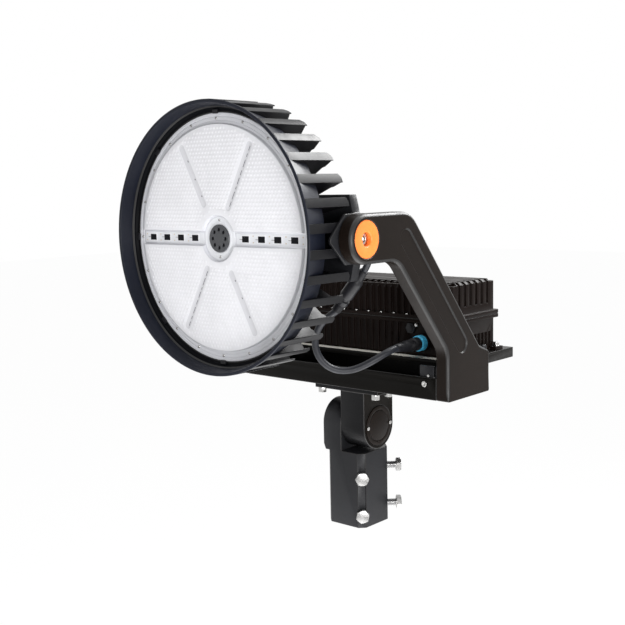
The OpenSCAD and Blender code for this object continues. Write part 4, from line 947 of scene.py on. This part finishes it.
    def vent(self):
        """The dark cap with its ring of eight blind holes, a black disc of painted shade at the bottom of
        each, and a fine groove.
        """
        profile = ((0, 17.0), (0, 20.0), (0.6, 20.4), (2.2, 20.4), (2.8, 19.9), (3.0, 19.0), (3.0, 18.2),
                   (2.7, 17.8), (2.7, 17.4), (3.0, 17.0), (3.0, 9.6), (2.7, 9.2), (2.7, 8.8), (3.0, 8.4),
                   (3.0, 0.01))
        solid = turned(profile, (0, RIM_Y + LENS_DEPTH, PIVOT_Z), (0, -1, 0), 96)
        cap = mesh_object("vent_cover", *solid, smooth=30)
        cutters, hole_shades = [], []
        for place in self.around(self.hole_circle, self.hole_count):
            cutters.append(turned([(0.9, 2.8), (2.5, 2.95), (3.6, 3.7)], place, (0, -1, 0), 24))
            # Painted shade: a thin black disc at the bottom of each blind hole.
            hole_shades.append(turned([(0.85, 2.82), (1.0, 2.82)], place, (0, -1, 0), 24))
        cut(cap, [mesh_object("vent_cut", *join(cutters))])
        tidy(cap.data, 30)
        finish(cap, "head", "cap", ["vent_cap"])
        piece("vent_pits", join(hole_shades), "head", "socket")

    def lenslets(self, pitch, half_spoke):
        """Small domes in close rows on the fields, apart from their edges and the spokes."""
        rise = pitch * sqrt(3) / 2
        rows = ceil(170 / rise)
        places = []
        for j in range(-rows, rows + 1):
            y = j * rise
            for i in range(-rows, rows + 1):
                x = (i + (0.5 if j % 2 else 0)) * pitch
                r = hypot(x, y)
                if (r > FIELD_R - self.field_edge - 0.4 - pitch * 0.45 or r < CENTRE_R + 7 + pitch * 0.4
                        or abs(y) < CHANNEL_W / 2 + self.field_edge + pitch * 0.45):
                    continue
                off = min(abs(x * sin(radians(a)) - y * cos(radians(a))) for a in SPOKES[:2])
                if 45 < r < 158 and off < half_spoke + pitch * 0.46:
                    continue
                places.append((x, RIM_Y + FIELD_DEPTH + 0.75, PIVOT_Z + y))
        rings = [ring_points((0, 0, z), (1, 0, 0), (0, 1, 0), r * pitch / self.dome_pitch, 10)
                 for z, r in self.dome]
        dome = mesh_object("dome", *loft(rings, (False, True)), smooth=80)
        finish(at_places("optic_lenslets", places, (0, -1, 0), dome, "optic"), "head")

    def screws(self):
        places = self.around(self.screw_circle, self.screw_count)
        places += [(0, RIM_Y + LENS_DEPTH, PIVOT_Z + side * self.centre_screws) for side in (1, -1)]
        shape = pan_screw("lens_screw", 2.1, 1.4)
        screws = at_places("optic_screws", places, (0, -1, 0), shape, "steel", 2 * pi, 3)
        finish(screws, "head", None, ["lens_screws"])


# Screws, their +Z outwards and their seat at z 0
def pan_screw(name, r, h, shank=0.0):
    """A pan-head screw with a cross recess."""
    profile = [(-shank, r * 0.45), (0, r * 0.45)] if shank else []
    profile += [(0, r), (h * 0.35, r), (h * 0.75, r * 0.84), (h, r * 0.5)]
    head = mesh_object(name, *turned(profile, (0, 0, 0), (0, 0, 1), 20), smooth=40)
    w, l = r * 0.13, r * 0.52
    for dx, dy in ((l, w), (w, l)):
        bar = loft([[(x, y, z) for x, y in ((-dx, -dy), (dx, -dy), (dx, dy), (-dx, dy))]
                    for z in (h * 0.45, h * 1.3)])
        cut(head, [mesh_object(name + "_cut", *bar)])
    tidy(head.data, 40)
    return head


def hex_head(name, af, h):
    """A hexagon head with its top chamfer and washer face."""
    r = af / 2 / cos(pi / 6)
    rings = []
    for z, limit in ((0.0, af * 0.47), (0.45, af * 0.47), (0.45, r - 0.3), (0.9, r), (h - r * 0.10, r),
                     (h - 0.15, r * 0.90), (h, r * 0.84)):
        ring = []
        for a in turns(48):
            rr = min(limit, af / 2 / cos((a + pi / 6) % (pi / 3) - pi / 6))
            ring.append((rr * cos(a + pi / 2), rr * sin(a + pi / 2), z))
        rings.append(ring)
    return mesh_object(name, *loft(rings), smooth=28)


def clamp_bolt(name, shank):
    """A clamp bolt with a chamfered hexagon head and a rolled thread on its shank."""
    head = hex_head(name, CLAMP_AF, CLAMP_HEAD)
    thread = [(-shank, 4.9)]
    d = -shank + 0.8
    while d < -2.6:
        thread += [(d, 5.98), (d + 0.5, 5.98), (d + 0.87, 5.2), (d + 1.2, 5.2)]
        d += 1.75
    thread += [(-1.6, 5.98), (0.2, 5.98)]
    solid = turned(thread, (0, 0, 0), (0, 0, 1), 28)
    return merged(name, [head, mesh_object(name + "_thread", *solid, smooth=30)])


class FLOOD_OT_fins(bpy.types.Operator):
    """Makes the sheet fins round the head"""
    bl_idname = "flood.fins"
    bl_label = "Fins"

    # The radius of the flange's arch, and the parts of its width at which its section is drawn.
    arch, shares = 90, (0, 0.02, 0.12, 0.25, 0.38, 0.5, 0.62, 0.75, 0.88, 0.98, 1)

    def execute(self, context):
        s = context.scene.flood_fins
        ring = grown(self.fin(s.thickness * 1000, s.flange * 1000), ring_tree, {
            "Count": s.count, "First angle": s.first, "Axis height": PIVOT_Z * MM,
            "Finish": COATS["coat_fin"]})
        ring.name = "cooling_fins"
        finish(ring, "head", None, ["fins"])
        return {"FINISHED"}

    def fin(self, t, w):
        """One fin at angle 0: radius along X, its flange along Z, depth along Y."""
        web = bevelled([(198.9, 5.2, 0.4), (190.3, 44, 0.4), (62, 44, 1), (62, 83, 3), (160, 85, 3),
                        (182, 85, 2), (184, 88.5, 1.5), (198.2, 88.5, 0.5)], 0.5, 2)
        sheet = [[(x - inset * (1 if x > 120 else -1), RIM_Y + y - inset * (1 if y > 60 else -1) * 0.5, z)
                  for x, y in web] for z, inset in ((0.0, 0.25), (0.25, 0), (t - 0.25, 0), (t, 0.25))]
        rings = []
        for share in self.shares:
            z = w * share
            end = 0.3 if share in (0, 1) else 0.0
            top = HEAD_R - (z - w / 2) ** 2 / (2 * self.arch)
            rear = 91.5 - max(0.0, z - (w - 6)) * 0.83 - end
            front = 2.1 + end
            rings.append([(x, RIM_Y + y, z) for x, y in (
                (top - end, front + 0.3), (top - 0.3 - end, front), (top - t + 0.3 + end, front + 4.3),
                (top - t + end, front + 4.6), (top - t + end, rear - 0.3), (top - t + 0.3 + end, rear),
                (top - 0.3 - end, rear), (top - end, rear - 0.3))])
        return mesh_object("fin", *join([loft(sheet), loft(rings)]), smooth=35)


def arm_outline():
    """The arm's closed outline in the YZ plane, in short steps."""
    slope = tan(LIMB_SLOPE)
    top, shoulder_z = PIVOT_Z + BOSS_R, BEAM_Z + 79
    run = LIMB_W / sin(LIMB_SLOPE)
    front, rear = BEAM_Y - 1, BEAM_REAR + 4
    shoulder_y = KNEE_Y + (top - shoulder_z) / slope
    inner_knee = KNEE_Y + LIMB_W / slope - run
    inner_foot = top - (front + run - KNEE_Y) * slope
    corners = [(PIVOT_Y, top, 0), (KNEE_Y, top, 45), (shoulder_y, shoulder_z, 12), (rear, shoulder_z - 13, 6),
               (rear, BEAM_Z, 3), (front, BEAM_Z, 3), (front, inner_foot, 35), (inner_knee, top - LIMB_W, 35),
               (PIVOT_Y, top - LIMB_W, 0)]
    line = bevelled(corners, 0, 10)
    line += [(PIVOT_Y + BOSS_R * cos(radians(a)), PIVOT_Z + BOSS_R * sin(radians(a)))
             for a in range(264, 90, -6)]
    dense = []
    for i, (y, z) in enumerate(line):
        y2, z2 = line[(i + 1) % len(line)]
        n = max(1, int(hypot(y2 - y, z2 - z) / 9))
        dense += [(y + (y2 - y) * k / n, z + (z2 - z) * k / n) for k in range(n)]
    return dense


class FLOOD_OT_arms(bpy.types.Operator):
    """Makes the two cast arms with their round bosses, recess and soft edges, and their discs"""
    bl_idname = "flood.arms"
    bl_label = "Arms"

    # Radii of the inner edge, and of the outer edge where it is smallest.
    inner_edge, least_edge = 2.0, 0.9

    def execute(self, context):
        edge = context.scene.flood_bracket.edge * 1000
        for side, name in ((1, "arm_right"), (-1, "arm_left")):
            finish(self.arm(side, name + "_cast", edge), "bracket", None, [name])
            piece("disc_right" if side > 0 else "disc_left", self.disc(side), "bracket",
                  "orange", smooth=35, weld=1e-6)
        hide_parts("pivot_discs")
        return {"FINISHED"}

    def body(self, edge):
        """The arm as a solid: its outline with a small inner edge and a larger outer edge."""
        line = arm_outline()
        inward = []
        for i in range(len(line)):
            d = (Vector(line[(i + 1) % len(line)]) - Vector(line[i - 1])).normalized()
            inward.append((d.y, -d.x))
        points = [(y, z, ny, nz) for (y, z), (ny, nz) in zip(line, inward)]

        def radius(y, z):
            """The outer edge's radius, which falls towards the foot and at its rear."""
            low = max(0.0, min(1.0, (z - BEAM_Z - 1) / (5 if y < BEAM_Y + 1 else 26)))
            rear = 1.0 if y < 40 else max(0.3, 1 - (y - 40) / 16)
            return self.least_edge + (edge - self.least_edge) * low * (rear if z < BEAM_Z + 75 else 1)

        r = self.inner_edge
        rings = [[(ARM_X + r * (1 - cos(a)), y + ny * r * (1 - sin(a)), z + nz * r * (1 - sin(a)))
                  for y, z, ny, nz in points] for a in (pi / 2 * k / 3 for k in range(4))]
        for a in (pi / 2 * k / 7 for k in range(8)):
            rings.append([(ARM_OUT - r + r * sin(a), y + ny * r * (1 - cos(a)), z + nz * r * (1 - cos(a)))
                          for y, z, ny, nz, r in (point + (radius(*point[:2]),) for point in points)])
        return loft(rings)

    def arm(self, side, name, edge):
        obj = mesh_object(name, *self.body(edge))
        ends = self.recess_ends()
        boss = ((ARM_X - 1, 9.05), (213, 9.05), (213, 9.7), (220.6, 9.7), (220.6, 26.8), (227.2, 26.8),
                (229.5, 28.6))
        cutters = [turned(boss, (0, PIVOT_Y, PIVOT_Z), (1, 0, 0), 96), self.recess(ends)]
        for y in (BEAM_Y + 24, BEAM_REAR - 24):
            hole = [(ARM_X - 1, 5.05), (ARM_X + 14, 5.05)]
            cutters.append(turned(hole, (0, y, BEAM_Z + 18), (1, 0, 0), 32))
        cut(obj, [mesh_object("cutter", *solid) for solid in cutters])
        if side < 0:
            for vertex in obj.data.vertices:
                vertex.co.x = -vertex.co.x
        tidy(obj.data, 32, 1e-6)
        for face in coated(obj, "coat_arm", "coat_edge"):
            outer = abs(face.center.x) * 1000 > ARM_OUT - edge - 0.1
            dark = self.in_recess(face.center, ends) and face.normal.y > 0
            face.material_index = int(outer and 0.12 < abs(face.normal.x) < 0.985 and not dark)
        return changed(obj, "WEIGHTED_NORMAL", keep_sharp=True, weight=80)

    def recess_ends(self):
        slope, run = tan(LIMB_SLOPE), LIMB_W / sin(LIMB_SLOPE)
        return [(KNEE_Y + (PIVOT_Z + BOSS_R - z) / slope - run / 2, z) for z in (PIVOT_Z - 4, BEAM_Z + 87)]

    def in_recess(self, point, ends):
        (y0, z0), (y1, z1) = ends
        y, z = point.y * 1000, point.z * 1000
        share = ((y - y0) * (y1 - y0) + (z - z0) * (z1 - z0)) / ((y1 - y0) ** 2 + (z1 - z0) ** 2)
        share = max(0.0, min(1.0, share))
        return hypot(y - y0 - share * (y1 - y0), z - z0 - share * (z1 - z0)) < 18

    def recess(self, ends):
        """The long shallow recess with sloped sides."""
        turn = atan2(ends[1][1] - ends[0][1], ends[1][0] - ends[0][0])
        return loft([[(x, ends[end][0] + r * cos(a), ends[end][1] + r * sin(a))
                      for end in (0, 1) for a in (turn + pi / 2 + pi * (end + i / 20) for i in range(21))]
                     for x, r in ((ARM_OUT - 1.9, 12.7), (ARM_OUT - 1.75, 13.1), (ARM_OUT - 0.2, 14.8),
                                  (ARM_OUT, 15.2), (ARM_OUT + 1, 16.6))])

    def disc(self, side):
        profile = [(220.75, 9.6), (220.75, 25.9), (221.2, 26.5), (226.8, 26.5), (227.6, 25.9), (227.75, 25.2),
                   (227.75, 11.6), (227.3, 10.6), (226.4, 9.9), (224, 9.6)]
        return loft([[(side * x, PIVOT_Y + r * cos(a), PIVOT_Z + r * sin(a)) for a in turns(96)]
                     for x, r in profile + profile[:1]], (False, False))


class FLOOD_OT_castings(bpy.types.Operator):
    """Rounds the edges of the other castings, sheets and screws, and gives them their finishes"""
    bl_idname = "flood.castings"
    bl_label = "Castings"

    # Node, width of its rounded edges in metres, and finish.
    rounded = (
        ("crossbeam", 0.0011, "coat_beam"), ("end_brackets", 0.0007, "coat"),
        ("driver_tray", 0.0008, "coat_tray"), ("driver_case", 0.0007, "coat_driver"),
        ("driver_cover", 0.0007, "coat_driver"), ("knuckle", 0.0012, "coat_knuckle"),
        ("knuckle_cover", 0.0005, "coat_arm"), ("slip_fitter", 0.0012, "coat"),
        ("rear_bar", 0.0012, "coat"), ("ear_plates", 0.0006, "coat"),
        ("panel_connector", 0.0005, "plastic"), ("head_gland", 0.0005, "plastic"),
        ("supply_gland", 0.0005, "plastic"), ("ground_post", 0.001, "plastic"),
        ("flange_bolts", 0.0005, "steel"), ("foot_bolts", 0.0004, "steel"),
        ("beam_screws", 0.0004, "steel"), ("bar_bolts", 0.0005, "steel"),
        ("pivot_bolts", 0.0005, "steel"), ("panel_screw", 0.0004, "steel"),
        ("arm_bolts", 0.0005, "steel"), ("tray_screws", 0.0003, "steel"),
        ("knuckle_cover_screws", 0.0004, "steel"), ("knuckle_bolt", 0.0007, "steel"),
    )
    # Nodes with a finish of their own on the rounded edges, and with a darker, warmer copy of their coat on
    # the side that faces +X, as painted shade and painted warm light.
    edged, sided = ("crossbeam", "ear_plates", "knuckle", "slip_fitter", "driver_tray"), ("knuckle",)
    # Nodes that stay as they are, and their finishes.
    kept = {
        "lens_gasket": "seal", "vent_membrane": "white", "led_boards": "white", "led_chips": "phosphor",
        "heat_base": "aluminium", "base_screws": "steel", "ear_screws": "steel", "pivot_bushes": "bronze",
        "driver_gasket": "seal", "driver_board": "green", "driver_coils": "bronze",
        "driver_capacitors": "sleeve", "driver_heatsinks": "aluminium",
    }

    def execute(self, context):
        bodies = {n: b for b, names in frame["record"]["behaviour"]["bodies"].items() for n in names}
        for name, width, coat in self.rounded:
            obj = node_copy(name)
            coats = [coat] + ["coat_side_shade"] * (name in self.sided) + ["coat_edge"] * (name in self.edged)
            for face in coated(obj, *coats):
                # The side facing +X takes the darker, warmer copy of the coat as painted light.
                face.material_index = int(name in self.sided and face.normal.x > 0.9)
            finish(bevel(obj, width), bodies[name], None, [name])
        for name, coat in self.kept.items():
            coated(frame["nodes"][name], coat)
        return {"FINISHED"}


class FLOOD_OT_fasteners(bpy.types.Operator):
    """Makes the clamp bolts of the slip fitter and the screws of the driver housing"""
    bl_idname = "flood.fasteners"
    bl_label = "Fasteners"

    # Faces of a clamp bolt's shank that are nearer to its axis than this are the thread's roots, which take a
    # darker steel as painted shade.
    root_r = 5.75
    # Each clamp bolt's direction, height, reach from the socket's axis and turn of its head.
    clamps = ((-45, 22.6, 60.0, 62), (-45, 87.6, 60.0, 45), (45, 28.5, 74.0, 20), (45, 96.0, 74.0, 50))
    # The housing's screws: the first one's place, their step, their number in a row and the two rows.
    cover_screw_x, cover_screw_z, cover_screw_step, cover_screw_count = -169.8, 367.0, 26.8, 13
    cover_screw_rows = (13.0, 150.0)

    def execute(self, context):
        bolts = [self.clamp(*row) for row in self.clamps]
        finish(merged("clamp_set", bolts), "base", None, ["clamp_bolts"])
        places = [(self.cover_screw_x + self.cover_screw_step * k, y, self.cover_screw_z)
                  for k in range(self.cover_screw_count) for y in self.cover_screw_rows]
        shape = pan_screw("cover_screw", 2.6, 1.8, 12.8)
        screws = at_places("housing_screws", places, (0, 0, 1), shape, "steel", 2 * pi, 7)
        finish(screws, "bracket", None, ["cover_screws"])
        return {"FINISHED"}

    def clamp(self, turn, z, out, spin):
        facing = Vector((cos(radians(turn)), sin(radians(turn)), 0))
        seat = out - CLAMP_HEAD
        shape = clamp_bolt("clamp", seat - BORE_R)
        shape.data.transform(Matrix.Rotation(radians(spin), 4, "Z"))
        bolt = at_places("clamps", [tuple(facing * seat + Vector((0, 0, z)))], facing, shape, "bolt")
        # The thread's roots take the darker steel as painted shade.
        bolt.data.materials.append(COATS["thread"])
        for face in bolt.data.polygons:
            away = face.center * 1000 - Vector((0, 0, z))
            along = away.dot(facing)
            if (away - facing * along).length < self.root_r and along < seat - 1:
                face.material_index = 1
        return bolt


# Panel and registration
class FLOOD_PT_panel(bpy.types.Panel):
    """Shows a button for each step that makes the flood light, and its settings"""
    bl_idname = "FLOOD_PT_panel"
    bl_label = "Flood light"
    bl_space_type = "VIEW_3D"
    bl_region_type = "UI"
    bl_category = "Flood light"

    def draw(self, context):
        for cls in OPERATORS:
            self.layout.operator(cls.bl_idname)
        for name in SETTINGS:
            group = getattr(context.scene, name)
            for prop in group.bl_rna.properties:
                if prop.identifier not in ("rna_type", "name"):
                    self.layout.prop(group, prop.identifier)


OPERATORS = (FLOOD_OT_stage, FLOOD_OT_cables, FLOOD_OT_shroud, FLOOD_OT_lens, FLOOD_OT_fins, FLOOD_OT_arms,
             FLOOD_OT_castings, FLOOD_OT_fasteners)
SETTINGS = {"flood_stage": StageSettings, "flood_lens": LensSettings, "flood_fins": FinSettings,
            "flood_bracket": BracketSettings, "flood_paint": PaintSettings}


def register():
    for name, cls in SETTINGS.items():
        bpy.utils.register_class(cls)
        setattr(bpy.types.Scene, name, PointerProperty(type=cls))
    for cls in OPERATORS + (FLOOD_PT_panel,):
        bpy.utils.register_class(cls)


def unregister():
    for cls in reversed(OPERATORS + (FLOOD_PT_panel,)):
        bpy.utils.unregister_class(cls)
    for name, cls in SETTINGS.items():
        delattr(bpy.types.Scene, name)
        bpy.utils.unregister_class(cls)


def main():
    register()
    COATS.update(make_materials())
    bpy.ops.flood.stage()
    bpy.ops.flood.cables()
    bpy.ops.flood.shroud()
    bpy.ops.flood.lens()
    bpy.ops.flood.fins()
    bpy.ops.flood.arms()
    bpy.ops.flood.castings()
    bpy.ops.flood.fasteners()


if __name__ == "__main__":
    main()
